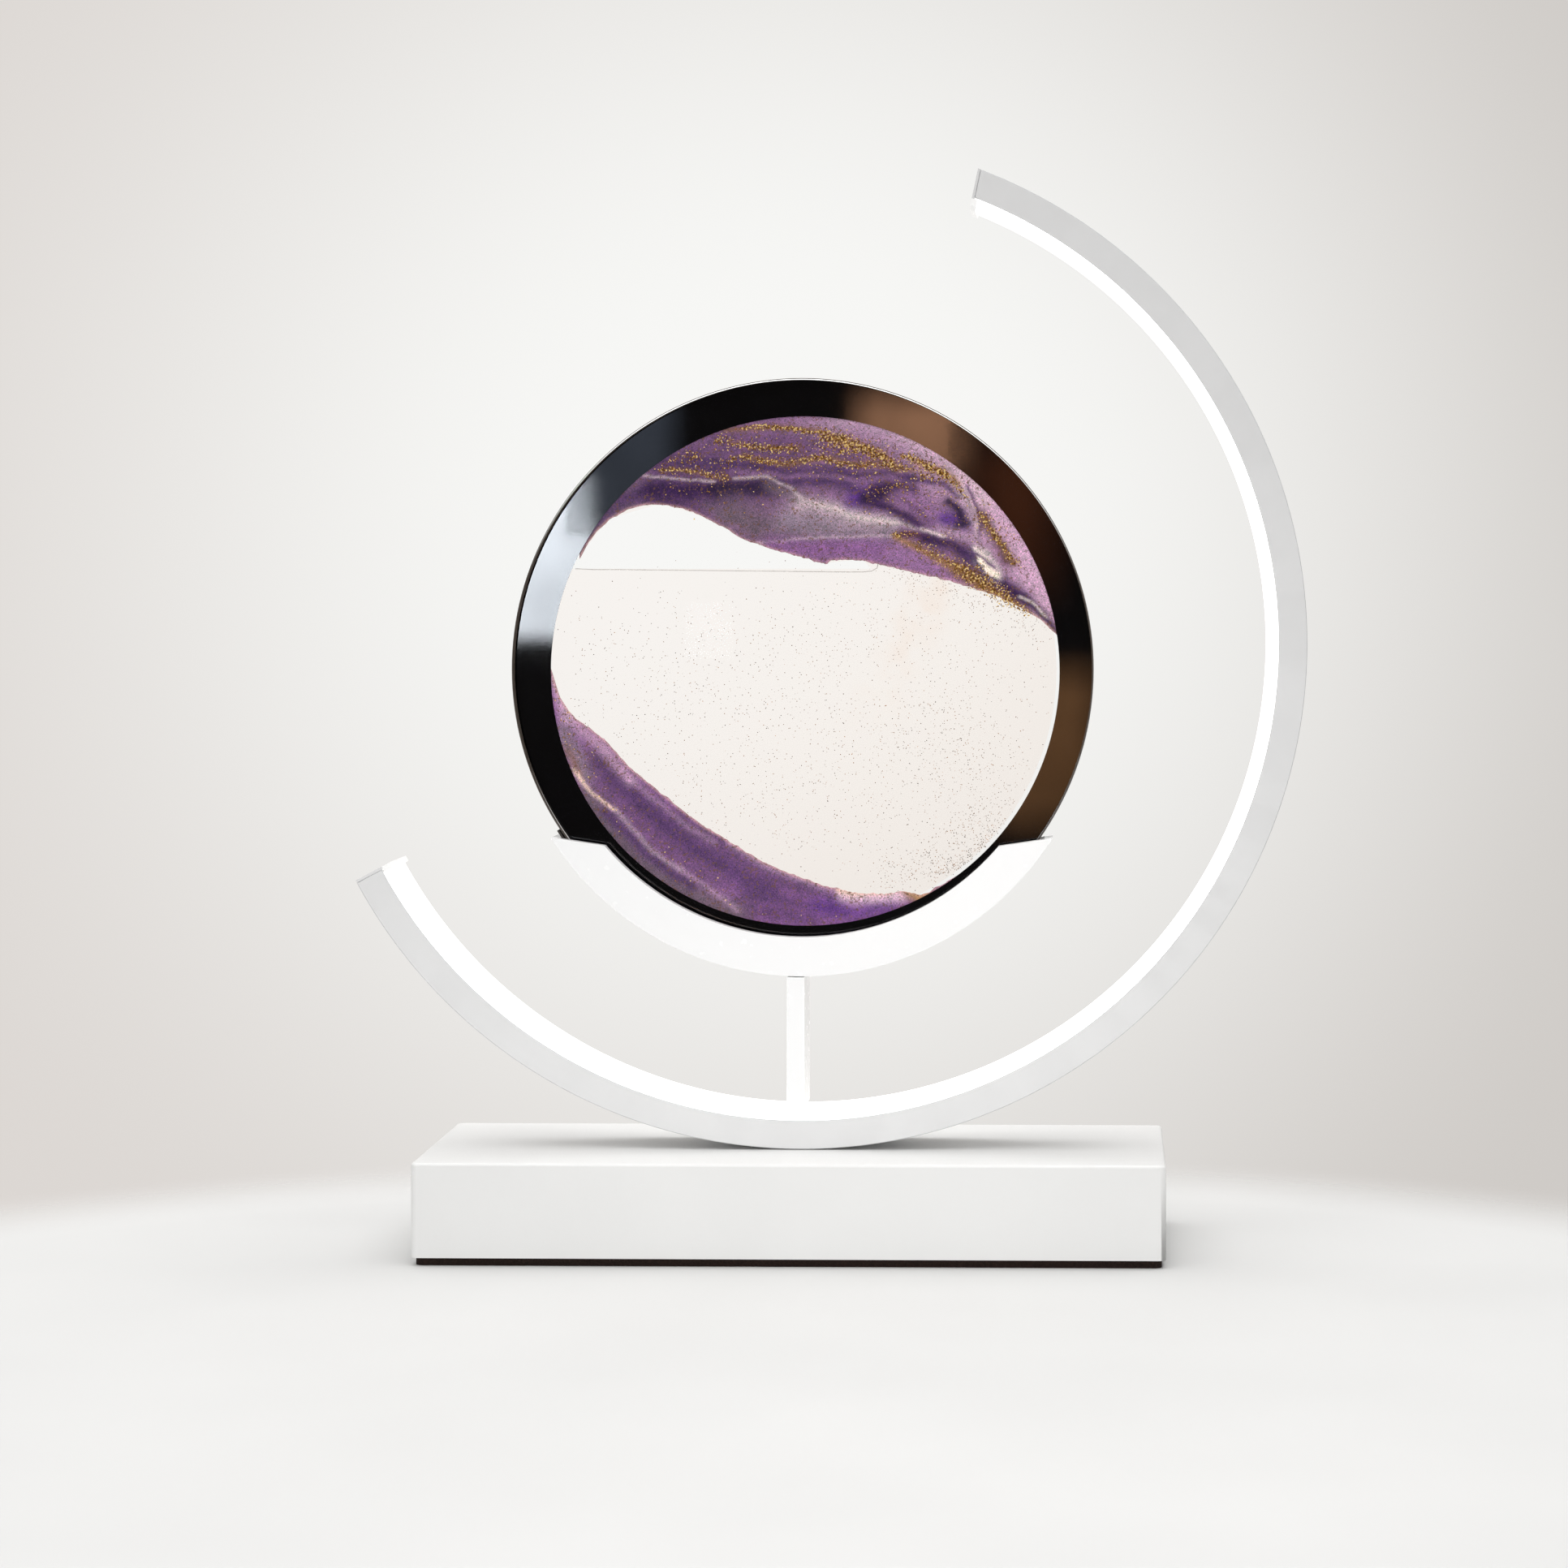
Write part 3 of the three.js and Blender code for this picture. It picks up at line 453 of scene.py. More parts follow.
def soften(piece, width_mm, segments, limit, material_slot=-1):
    """Round every edge that is sharper than the limit."""
    edge = piece.modifiers.new("softened_edges", "BEVEL")
    edge.width = width_mm * MM
    edge.segments = segments
    edge.limit_method = "ANGLE"
    edge.angle_limit = math.radians(limit)
    edge.material = material_slot
    keep_flats(piece)


# %% [markdown]
# Some steps are the same for several pieces: a solid of the frame is copied as one clean skin,
# an outline is drawn to be spun, and edges are bevelled in the mesh itself. Blender's bevel has
# other defaults in a script than in the editor, so each of its values is given here.

# %% Shape helpers
MERGE_DISTANCE = 0.001 * MM
FLAT_WITHIN = math.radians(0.5)


def solid_copy(node):
    """A frame solid as a bmesh: merged, and with its flat faces made whole again."""
    shape = bmesh.new()
    shape.from_mesh(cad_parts[node].data)
    bmesh.ops.remove_doubles(shape, verts=shape.verts, dist=MERGE_DISTANCE)
    bmesh.ops.dissolve_limit(
        shape, angle_limit=FLAT_WITHIN, verts=shape.verts, edges=shape.edges,
    )
    return shape


def closed_outline(shape, points):
    """Vertices at the points, and the edges that join them in a closed line."""
    verts = [shape.verts.new(p) for p in points]
    edges = [shape.edges.new(pair) for pair in zip(verts, verts[1:] + verts[:1])]
    return verts, edges


def bevel_edges(shape, edges, width, segments):
    """Round some edges of a bmesh."""
    bmesh.ops.bevel(
        shape, geom=edges, offset=width, affect="EDGES", segments=segments,
        profile=0.5, material=-1, offset_type="OFFSET", clamp_overlap=True,
    )


def stand_up(shape, middle):
    """Turn what was drawn lying flat to face the front, and put it in its place."""
    quarter = Matrix.Rotation(math.pi / 2, 3, "X")
    bmesh.ops.rotate(shape, verts=shape.verts, cent=(0, 0, 0), matrix=quarter)
    bmesh.ops.translate(shape, verts=shape.verts, vec=middle)


# %% [markdown]
# ## The ring's channel
#
# The channel is one extrusion with a U-shaped section, rolled to a circle. Spinning the section
# round the ring's centre does the same. The left end is cut square to the circle. The upper end
# is cut nearer to the vertical, so the last section is slid along the circle onto that cut.

# %% Spin a section into a C
RING_STEPS = 220
ring_low, ring_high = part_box("ring_profile")
ring_radius = 156 * MM
ring_width = 8.8 * MM
ring_half_depth = (ring_high.y - ring_low.y) / 2
ring_centre = Vector((ring_high.x - ring_radius, 0, ring_low.z + ring_radius))
print("ring centre", [round(v / MM, 2) for v in ring_centre])

# Each end: its angle, how far its cut leans, and on which side of the cut the ring lies.
TOP_END = (math.radians(69.15), math.radians(9), -1)
LEFT_END = (math.radians(208 - 360), 0, 1)


def end_angle(radius, setback, end, lean, side):
    """Where a circle of this radius meets a cut that leans and is set back into the ring."""
    along = Vector((math.cos(lean), math.sin(lean)))
    start = Vector((ring_radius - ring_width / 2, side * setback))
    dot = start.dot(along)
    t = -dot + math.sqrt(dot * dot - start.length_squared + radius * radius)
    point = start + t * along
    return end + math.atan2(point.y, point.x)


def on_ring(radius, angle, y):
    """A place at a radius and an angle from the ring's centre."""
    return ring_centre + Vector((radius * math.cos(angle), y, radius * math.sin(angle)))


def spin_ring(section, setback):
    """A closed section of (radius, y) points in metres, spun from the left end to the top."""
    first, last = (end_angle(ring_radius, setback, *end) for end in (LEFT_END, TOP_END))
    shape = bmesh.new()
    first_verts, first_edges = closed_outline(shape, [on_ring(r, first, y) for r, y in section])
    spun = bmesh.ops.spin(
        shape, geom=first_verts + first_edges, cent=ring_centre, axis=(0, -1, 0),
        angle=last - first, steps=RING_STEPS, use_duplicate=False,
    )
    last_edges = [e for e in spun["geom_last"] if isinstance(e, bmesh.types.BMEdge)]
    last_verts = {v for e in last_edges for v in e.verts}
    for edges in (first_edges, last_edges):
        bmesh.ops.contextual_create(shape, geom=edges)
    for end, verts in ((TOP_END, last_verts), (LEFT_END, first_verts)):
        for vert in verts:
            radius = (vert.co - ring_centre).xz.length
            vert.co = on_ring(radius, end_angle(radius, setback, *end), vert.co.y)
    bmesh.ops.recalc_face_normals(shape, faces=shape.faces)
    return shape


# %% [markdown]
# The section is written as points of a radius and a depth, from the real wall thicknesses. The
# channel's edges are softened by a modifier, which also gives them a darker grey of painted
# shade.

# %% The channel
lip_radius = ring_radius - ring_width
floor_radius = ring_radius - 1.6 * MM
inner_half = ring_half_depth - 1.3 * MM
plate_setback = 0.85 * MM
channel_section = [
    (lip_radius, -ring_half_depth),
    (ring_radius, -ring_half_depth),
    (ring_radius, ring_half_depth),
    (lip_radius, ring_half_depth),
    (lip_radius, inner_half),
    (floor_radius, inner_half),
    (floor_radius, -inner_half),
    (lip_radius, -inner_half),
]
channel = to_piece(
    "ring_channel", spin_ring(channel_section, plate_setback), (lacquer, painted_edge_shade),
    "base", ["ring_profile"],
)
soften(channel, 0.2, segments=2, limit=50, material_slot=1)

# %% [markdown]
# ## The milky cover
#
# The cover is a shallow dome across the channel's mouth, with rounded shoulders that come down
# flush with the channel's two faces. Its short legs grip the channel's walls from inside. It is
# made by the same spin, with more points across the dome, so that the shoulders stay smooth.

# %% The milky cover
crest_radius = lip_radius - 3.3 * MM
crown_sag = 0.85 * MM
shoulder = 2 * MM
cover_seat = lip_radius - 0.4 * MM
leg_outer = inner_half - 0.3 * MM
leg_inner = leg_outer - 1.5 * MM
leg_end = cover_seat + 3.1 * MM
cover_ceiling = crest_radius + crown_sag + 1.2 * MM
flat_half = ring_half_depth - shoulder
tab_setback = 1.85 * MM


def shoulder_points(side, steps=6):
    """The quarter round from a face of the ring to the dome."""
    centre_radius = crest_radius + crown_sag + shoulder
    turns = [i / steps * math.pi / 2 for i in range(steps + 1)]
    return [
        (centre_radius - shoulder * math.sin(turn),
         side * (flat_half + shoulder * math.cos(turn)))
        for turn in turns
    ]


dome_steps = 10
dome = [
    (crest_radius + crown_sag * s ** 2, s * flat_half)
    for s in (1 - 2 * i / dome_steps for i in range(1, dome_steps))
]
half_legs = [
    (cover_seat, ring_half_depth), (cover_seat, leg_outer), (leg_end, leg_outer),
    (leg_end, leg_inner), (cover_ceiling, leg_inner),
]
cover_section = [
    *((radius, -y) for radius, y in half_legs), *reversed(half_legs),
    *shoulder_points(1), *dome, *reversed(shoulder_points(-1)),
]
to_piece(
    "milky_cover", spin_ring(cover_section, tab_setback), [opal],
    "base", ["ring_diffuser"], smooth=35,
)

# %% [markdown]
# ## The end caps
#
# Each end is closed by a moulded cap: a thin lacquered plate over the channel, and a thicker
# milky tab that stands over the end of the cover. Seen from the front it is a flat L, so the L
# is drawn as two faces, extruded through the ring's depth, and its tab corners are rounded.

# %% End caps
plate_thickness, tab_thickness, tab_proud = 0.8 * MM, 1.8 * MM, 0.4 * MM
tab_corner = 1.6 * MM
tab_radius = crest_radius - tab_proud
cap_outline = [
    (tab_radius, 0), (cover_seat, 0), (ring_radius, 0), (ring_radius, plate_thickness),
    (cover_seat, plate_thickness), (cover_seat, tab_thickness), (tab_radius, tab_thickness),
]


def end_cap(name, node, end):
    """An L-shaped cap on the cut at one end of the ring."""
    shape = bmesh.new()
    verts = [
        shape.verts.new(on_ring(radius, end_angle(radius, setback, *end), -ring_half_depth))
        for radius, setback in cap_outline
    ]
    plate_face = shape.faces.new(verts[1:5])
    tab_face = shape.faces.new([verts[0], verts[1], *verts[4:]])
    grown = bmesh.ops.extrude_face_region(shape, geom=[plate_face, tab_face])
    moved = [v for v in grown["geom"] if isinstance(v, bmesh.types.BMVert)]
    bmesh.ops.translate(shape, verts=moved, vec=(0, 2 * ring_half_depth, 0))
    bmesh.ops.recalc_face_normals(shape, faces=shape.faces)
    for face in shape.faces:
        radius = (face.calc_center_median() - ring_centre).xz.length
        face.material_index = 1 if radius > cover_seat + 0.1 * MM else 0
    corners = [
        e for e in shape.edges
        if all((v.co - ring_centre).xz.length < crest_radius for v in e.verts)
        and abs(e.verts[0].co.y - e.verts[1].co.y) < MM
    ]
    bevel_edges(shape, corners, tab_corner, segments=5)
    return to_piece(name, shape, (tab_painted_glow_and_shade, lacquer), "base", [node])


caps = [
    end_cap("end_cap_top", "ring_end_cap_top", TOP_END),
    end_cap("end_cap_left", "ring_end_cap_left", LEFT_END),
]
for cap in caps:
    soften(cap, 0.1, segments=2, limit=40)

# %% [markdown]
# ## Base, stem and cradle
#
# These solids already have the right shape. A copy of each is merged, its flat faces are made
# whole, and a small rounding is added to its edges, because a moulded edge always catches a
# thin line of light. The base's edges are rounded in the frame itself.

# %% Base, stem, cradle, button and inlet
# name, solid, finish, body, slot, smoothing angle in degrees, width and steps of the rounding
copied_pieces = [
    ("base_block", "base_shell", powder_coat, "base", "white_paint", 50, 0, 0),
    ("stem_bar", "stem", gloss_abs, "base", "white_gloss", 40, 0.15, 2),
    ("disc_cradle", "cradle", gloss_abs, "base", "white_gloss", 40, 0.4, 3),
    ("push_button", "switch_button", gloss_abs, "button", "white_gloss", 35, 0.15, 2),
    ("barrel_inlet", "power_inlet", matt_abs, "base", "dark_plastic", 35, 0.15, 2),
]
for name, node, finish, body, slot_name, smooth, width_mm, steps in copied_pieces:
    piece = to_piece(name, solid_copy(node), [finish], body, [node], smooth)
    if width_mm:
        soften(piece, width_mm, steps, limit=30)
    else:
        keep_flats(piece)

# %% [markdown]
# The tape in the groove is a copy as well, but its right end is cut back a little, because
# tape never reaches quite to the end of a groove. A plane square to the groove there cuts it,
# and the open end is filled.

# %% Tape in the groove
tape = solid_copy("groove_liner")
tape_end = max(tape.verts, key=lambda v: v.co.x).co
along_groove = Vector((0.56, 0, 0.83))
cut_back = 3 * MM
bmesh.ops.bisect_plane(
    tape, geom=tape.verts[:] + tape.edges[:] + tape.faces[:],
    plane_co=tape_end - cut_back * along_groove, plane_no=along_groove, clear_outer=True,
)
bmesh.ops.holes_fill(tape, edges=[e for e in tape.edges if e.is_boundary], sides=0)
to_piece("groove_tape", tape, [felt], "base", ["groove_liner"], smooth=35)

# %% [markdown]
# ## The glass cell
#
# The cell is two discs of glass with a seal between them. A disc is a short cylinder with a
# ground and polished edge, so each pane is a cone primitive with equal radii and a bevelled
# rim. The bevel's inner half, which faces forward, carries the painted highlight, and the outer
# half a painted shade.

# %% Panes
DISC_STEPS = 192
pane_low, pane_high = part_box("front_glass")
disc_radius = (pane_high.x - pane_low.x) / 2
disc_centre = (pane_low + pane_high) / 2
disc_centre.y = 0
pane_bevel = 0.55 * MM
FLAT, INNER_BEVEL = 0.99, 0.9    # how nearly such a face points forwards or backwards
print("disc centre", [round(v / MM, 2) for v in disc_centre])


def glass_pane(name, node):
    """A round pane with a bevelled rim, in the place of the frame's pane."""
    low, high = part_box(node)
    shape = bmesh.new()
    bmesh.ops.create_cone(
        shape, cap_ends=True, segments=DISC_STEPS,
        radius1=disc_radius, radius2=disc_radius, depth=high.y - low.y,
    )
    rims = [e for e in shape.edges if abs(e.verts[0].co.z - e.verts[1].co.z) < MM / 10]
    bevel_edges(shape, rims, pane_bevel, segments=3)
    stand_up(shape, Vector((disc_centre.x, (low.y + high.y) / 2, disc_centre.z)))
    bmesh.ops.recalc_face_normals(shape, faces=shape.faces)
    for face in shape.faces:
        facing = abs(face.normal.y)
        face.material_index = 0 if facing > FLAT else (1 if facing > INNER_BEVEL else 2)
    to_piece(
        name, shape, (glass, bevel_painted_highlight, bevel_painted_shade), "disc", [node], smooth=20,
    )


glass_pane("pane_front", "front_glass")
glass_pane("pane_rear", "rear_glass")

# %% [markdown]
# Masks and seal are flat rings, spun from a small rectangle. The print was made a little off
# centre, so the hole in each ring is moved sideways and down after the spin.

# %% Masks and seal
window_radius = disc_radius - 11.2 * MM
print_offset = Vector((0.6, 0, -0.55)) * MM
hair = 0.03 * MM


def flat_ring(name, node, inner, outer, material):
    """A flat ring about the disc's axis, a hair thinner than the frame's, with its hole moved."""
    low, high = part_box(node)
    front, back = low.y + hair, high.y - hair
    corners = [(inner, front), (outer, front), (outer, back), (inner, back)]
    shape = bmesh.new()
    verts, edges = closed_outline(shape, [disc_centre + Vector((r, y, 0)) for r, y in corners])
    bmesh.ops.spin(
        shape, geom=verts + edges, cent=disc_centre, axis=(0, 1, 0),
        angle=2 * math.pi, steps=DISC_STEPS, use_merge=True, use_duplicate=False,
    )
    bmesh.ops.remove_doubles(shape, verts=shape.verts, dist=MERGE_DISTANCE)
    hole = [v for v in shape.verts if (v.co - disc_centre).xz.length < (inner + outer) / 2]
    bmesh.ops.translate(shape, verts=hole, vec=print_offset)
    bmesh.ops.recalc_face_normals(shape, faces=shape.faces)
    to_piece(name, shape, [material], "disc", [node], smooth=30)


# name, solid, millimetres added to the window and taken off the rim, finish, slot
for name, node, inner_mm, outer_mm, material, slot_name in [
    ("mirror_ring_front", "front_mask", 0, 0.05, mirror_coat, "black_mask"),
    ("mirror_ring_rear", "rear_mask", 1, 0.05, mirror_coat, "black_mask"),
    ("cell_seal", "rim_seal", 1.6, 1.2, silicone, "black_seal"),
]:
    flat_ring(
        name, node, window_radius + inner_mm * MM, disc_radius - outer_mm * MM,
        material,
    )

# %% [markdown]
# ## The sand
#
# Sand of several colours sinks through the liquid and settles in veils, so each mass of sand
# is striped, with thin pale and gold layers. The stripes are soft brush strokes: each is a line
# of points, a width and a colour, and a little noise bends the strokes as currents bend the
# sand. The colours are kept in a colour attribute, which the finish reads.

# %% Places on the disc
PICTURE_MM = 0.2518
WINDOW_U, WINDOW_V = 991.8, 827.7
window_centre = Vector((disc_centre.x, 0, disc_centre.z)) + print_offset


def on_disc(points):
    """Places on the window, read off in picture points from its centre, in millimetres."""
    return np.array([
        ((u - WINDOW_U) * PICTURE_MM, (WINDOW_V - v) * PICTURE_MM) for u, v in points
    ])


def in_window(x_mm, z_mm, y):
    """A place in the lamp, from millimetres on the window and a depth in metres."""
    place = window_centre + Vector((x_mm, 0, z_mm)) * MM
    place.y = y
    return place


print("window centre", [round(v / MM, 2) for v in window_centre])

# %% [markdown]
# The dyes are a small palette: lilac to violet, smoky greys, chalk white, and two browns where
# gold dust is mixed in.

# %% Palette of the sand
PALETTE = {
    "lilac": "#B495C4", "pale lilac": "#D0B4DC", "orchid": "#C6A2D4", "mauve": "#7F5D94",
    "plum": "#62447A", "violet": "#82589F", "soft violet": "#8E68A8", "dusk": "#482F68",
    "deep violet": "#321850", "ink": "#25103F", "vivid": "#4E2490", "smoke": "#63546E",
    "ash": "#807190", "veil": "#86779A", "haze": "#A894B6", "mist": "#BAAAC6",
    "chalk": "#D8CBE0", "white": "#F2E7F0", "blush": "#E4C8CE", "ochre": "#96704E",
    "umber": "#805C46", "wine": "#50294A", "tan": "#B08A5C",
}
print(len(PALETTE), "dyes")

# %% [markdown]
# A stroke colours the points that lie near its line, and it fades out sideways like a soft
# brush. Distances are measured with numpy for all points at once, because a sheet has more than
# twenty thousand of them.

# %% Brush strokes
def bent_by_currents(points, size_mm, amount_mm, seed):
    """Shift points by smooth noise, as currents do."""
    second_way = Vector((31.7, 11.3, 5.1))
    moved = points.copy()
    for i, (x, z) in enumerate(points):
        spot = Vector((x / size_mm, z / size_mm, seed))
        moved[i, 0] += amount_mm * noise.noise(spot)
        moved[i, 1] += amount_mm * noise.noise(spot + second_way)
    return moved


def distance_to(line, points):
    """The distance of each point from a line of points."""
    best = np.full(len(points), 1e9)
    for a, b in zip(line[:-1], line[1:]):
        step = b - a
        t = np.clip(((points - a) @ step) / (step @ step + 1e-9), 0, 1)
        best = np.minimum(best, np.linalg.norm(points - (a + t[:, None] * step), axis=1))
    return best


def brush(colours, points, line, width_mm, strength, hex_colour):
    """Draw the colours of the points near a line towards one colour."""
    near = strength * np.exp(-(distance_to(line, points) / width_mm) ** 2)
    colours += near[:, None] * (np.array(linear(hex_colour)[:3]) - colours)


# %% [markdown]
# The finish of the sand is the same for both masses. Its colour comes from the strokes. Damp
# grains cling together in short crooked threads, which noise with a strong distortion gives.
# Light and shade are painted along them: a grey copy of the colour where they would lie in shade,
# a strongly dyed copy where they would catch light. A few brown mica specks are mixed in. Real
# grains are 0.1 to 0.2 mm; the threads are 0.9 mm wide, so that they show.

# %% Sand finish
sand_finish, tree, shader = new_material("dyed_quartz_sand", {"Roughness": 0.75, "IOR": 1.45})
place = millimetres(tree)
thread_mm, thread_depth_mm, clump_mm, speck_mm = 0.9, 0.12, 3.2, 0.8
shaded_gain, lit_gain = (0.46, 0.62, 0.36), (1.85, 1.6, 1.34)

painted = add_node(tree, "ShaderNodeAttribute", {"attribute_name": "sand_colour"})
threads = add_node(tree, "ShaderNodeTexNoise", {}, {
    "Vector": place, "Scale": 1 / thread_mm, "Detail": 2, "Roughness": 0.6, "Distortion": 2.6,
})
catching_light = add_node(tree, "ShaderNodeMapRange", {}, {
    "Value": threads, "From Min": 0.32, "From Max": 0.68,
})
# Painted light and shade: a darker and a lighter copy of the sand's colour, mixed along the
# threads.
shaded, lit = (
    add_node(tree, "ShaderNodeVectorMath", {"operation": "MULTIPLY"}, {0: painted, 1: gain})
    for gain in (shaded_gain, lit_gain)
)
painted_light_and_shade = add_node(tree, "ShaderNodeMix", {"data_type": "RGBA"}, {
    "Factor": catching_light, "A": shaded, "B": lit,
})
specked = add_node(tree, "ShaderNodeMix", {"data_type": "RGBA"}, {
    "Factor": mottle(tree, place, speck_mm, 0, 0.75, ends=(0.6, 0.68), detail=1),
    "A": painted_light_and_shade, "B": "#6B4A33",
})
clumped = add_node(tree, "ShaderNodeVectorMath", {"operation": "SCALE"}, {
    0: specked, "Scale": mottle(tree, place, clump_mm, 0.86, 1.14, detail=3, roughness=0.6),
})
bump = add_node(tree, "ShaderNodeBump", {}, {
    "Height": threads, "Distance": thread_depth_mm * MM,
})
plug(clumped, shader, "Base Color")
plug(bump, shader, "Normal")

# %% [markdown]
# A mass of sand starts as a grid, which is stretched so that one side follows the sand's edge
# and the other the window's rim. That way its quads run along the sand, and the strokes stay
# smooth. The grains' ragged edge is noise of two sizes. Where sand meets liquid the grains
# lie loose and look pinkish, so a thin fringe there is brushed on last.

# %% The sheet of sand
# size of a swirl and how far it pushes the sand, in millimetres
CURRENTS = ((16, 1.2), (5, 0.5), (1.8, 0.3))
# size and height of the steps in the ragged edge, in millimetres, and the layer of the noise
RAGGED = ((2.2, 0.5, 0), (0.8, 0.25, 3))
FRINGE_MM, FRINGE_STRENGTH, FRINGE_COLOUR = 0.55, 0.55, "#CBA3AE"
UNDER_RIM_MM, SLIVER_MM = 0.6, 0.02


def sand_grid(edge, front, above, columns, rows, seed):
    """A flat sheet between the sand's edge and the window's rim."""
    rim = window_radius / MM + UNDER_RIM_MM
    side = 1 if above else -1
    shape = bmesh.new()
    bmesh.ops.create_grid(shape, x_segments=columns, y_segments=rows, size=0.5)
    for vert in shape.verts:
        across, up = vert.co.x + 0.5, vert.co.y + 0.5
        x = edge[0, 0] + across * (edge[-1, 0] - edge[0, 0])
        border = float(np.interp(x, edge[:, 0], edge[:, 1]))
        for size_mm, height_mm, layer in RAGGED:
            border += height_mm * noise.noise(Vector((x / size_mm, seed, layer)))
        bound = side * math.sqrt(max(rim ** 2 - x ** 2, 0))
        border = side * min(side * border, side * bound)
        vert.co = in_window(x, border + up * (bound - border), front)
    bmesh.ops.remove_doubles(shape, verts=shape.verts, dist=SLIVER_MM * MM)
    bmesh.ops.recalc_face_normals(shape, faces=shape.faces)
    if sum(face.normal.y for face in shape.faces) > 0:
        bmesh.ops.reverse_faces(shape, faces=shape.faces)
    return shape


def sand_sheet(name, node, edge, ground, strokes, above, columns, rows, seed):
    """A mass of sand as thick as the frame's: a ground colour with strokes over it."""
    low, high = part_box(node)
    edge = edge[np.argsort(edge[:, 0])]
    shape = sand_grid(edge, low.y, above, columns, rows, seed)
    sheet = to_piece(name, shape, [sand_finish], "disc", [node])
    flat = np.array([
        ((v.co.x - window_centre.x) / MM, (v.co.z - window_centre.z) / MM)
        for v in sheet.data.vertices
    ])
    bent = flat
    for size_mm, push_mm in CURRENTS:
        bent = bent_by_currents(bent, size_mm, push_mm, seed + size_mm)
    colours = np.tile(np.array(linear(PALETTE[ground])[:3]), (len(flat), 1))
    for dye, width_mm, strength, line in strokes:
        brush(colours, bent, on_disc(line), width_mm, strength, PALETTE[dye])
    brush(colours, flat, edge, FRINGE_MM, FRINGE_STRENGTH, FRINGE_COLOUR)
    attribute = sheet.data.color_attributes.new("sand_colour", "FLOAT_COLOR", "POINT")
    opaque = np.ones((len(flat), 1))
    attribute.data.foreach_set("color", np.hstack((colours, opaque)).ravel())
    thick = sheet.modifiers.new("sand_depth", "SOLIDIFY")
    thick.thickness = high.y - low.y
    thick.offset = -1
    print(name, "has", len(strokes), "strokes")


# %% [markdown]
# The upper mass hangs over a bubble of trapped air. Its lower edge is a line of points from left
# to right, and all the rest of the mass lies between that line and the rim.

# %% Edge of the upper sand
upper_edge = on_disc([
    (713, 688), (716, 682), (724, 668), (734, 655), (749, 641), (774, 627), (795, 622),
    (814, 622), (832, 625), (849, 629), (862, 635), (874, 641), (885, 647), (898, 653),
    (908, 661), (918, 666), (932, 670), (948, 676), (962, 680), (978, 684), (998, 690),
    (1018, 696), (1023, 691), (1040, 690), (1063, 691), (1080, 695), (1097, 699),
    (1127, 706), (1162, 714), (1197, 724), (1232, 736), (1262, 751), (1280, 762),
    (1291, 771), (1303, 783),
])
print(len(upper_edge), "points along the edge")

# %% [markdown]
# A later stroke covers the ones before it, as on a canvas, so the broad and quiet areas come
# first. Lilac lies along the rim, the left end is smoky, and a dark band crosses above it.

# %% Rim, left end and dark band
upper_strokes = [
    # lilac along the rim
    ("lilac", 6.5, 0.9, [(1000, 512), (1060, 514), (1120, 536), (1180, 580), (1232, 640)]),
    ("orchid", 8.5, 0.95, [(1180, 585), (1236, 650), (1272, 700), (1296, 760)]),
    ("pale lilac", 3.0, 0.8, [(1120, 528), (1160, 552), (1196, 590), (1212, 616)]),
    ("mauve", 4.0, 0.7, [(905, 518), (960, 514), (1010, 512)]),
    ("plum", 3.4, 0.7, [(870, 540), (940, 543), (1000, 546), (1060, 572)]),
    ("plum", 3.0, 0.8, [(820, 566), (900, 550), (990, 558)]),
    # the quiet left end
    ("smoke", 4.4, 0.85, [(706, 690), (730, 652), (756, 624), (792, 604)]),
    ("plum", 2.4, 0.85, [(770, 612), (820, 612), (850, 628), (880, 640)]),
    ("dusk", 2.4, 0.7, [(722, 668), (752, 630), (786, 606), (820, 596)]),
    ("smoke", 1.8, 0.6, [(870, 622), (910, 640), (940, 656)]),
    # violet band under the pale line
    ("deep violet", 4.3, 1.0, [(804, 603), (850, 607), (900, 605), (950, 601)]),
    ("ink", 2.4, 0.95, [(880, 602), (916, 601), (944, 600)]),
    ("smoke", 2.6, 0.9, [(952, 598), (974, 604), (990, 616)]),
    ("dusk", 3.4, 0.9, [(814, 576), (870, 576), (920, 575), (980, 580), (1040, 588)]),
    ("dusk", 1.6, 0.85, [(960, 588), (1000, 592), (1040, 596), (1056, 606)]),
    ("dusk", 1.0, 0.8, [(850, 566), (890, 571), (930, 576), (960, 580)]),
    ("dusk", 1.0, 0.8, [(1030, 582), (1060, 585), (1100, 583), (1130, 592)]),
    ("mauve", 0.9, 0.7, [(900, 580), (950, 584), (1000, 584), (1050, 592)]),
]
print(len(upper_strokes), "strokes so far")

# %% [markdown]
# A grey veil runs through the middle, where the violet sand thinned out as it sank. Right of it
# lie dark cells with thin light outlines, where heavier sand pushed up through the layers.

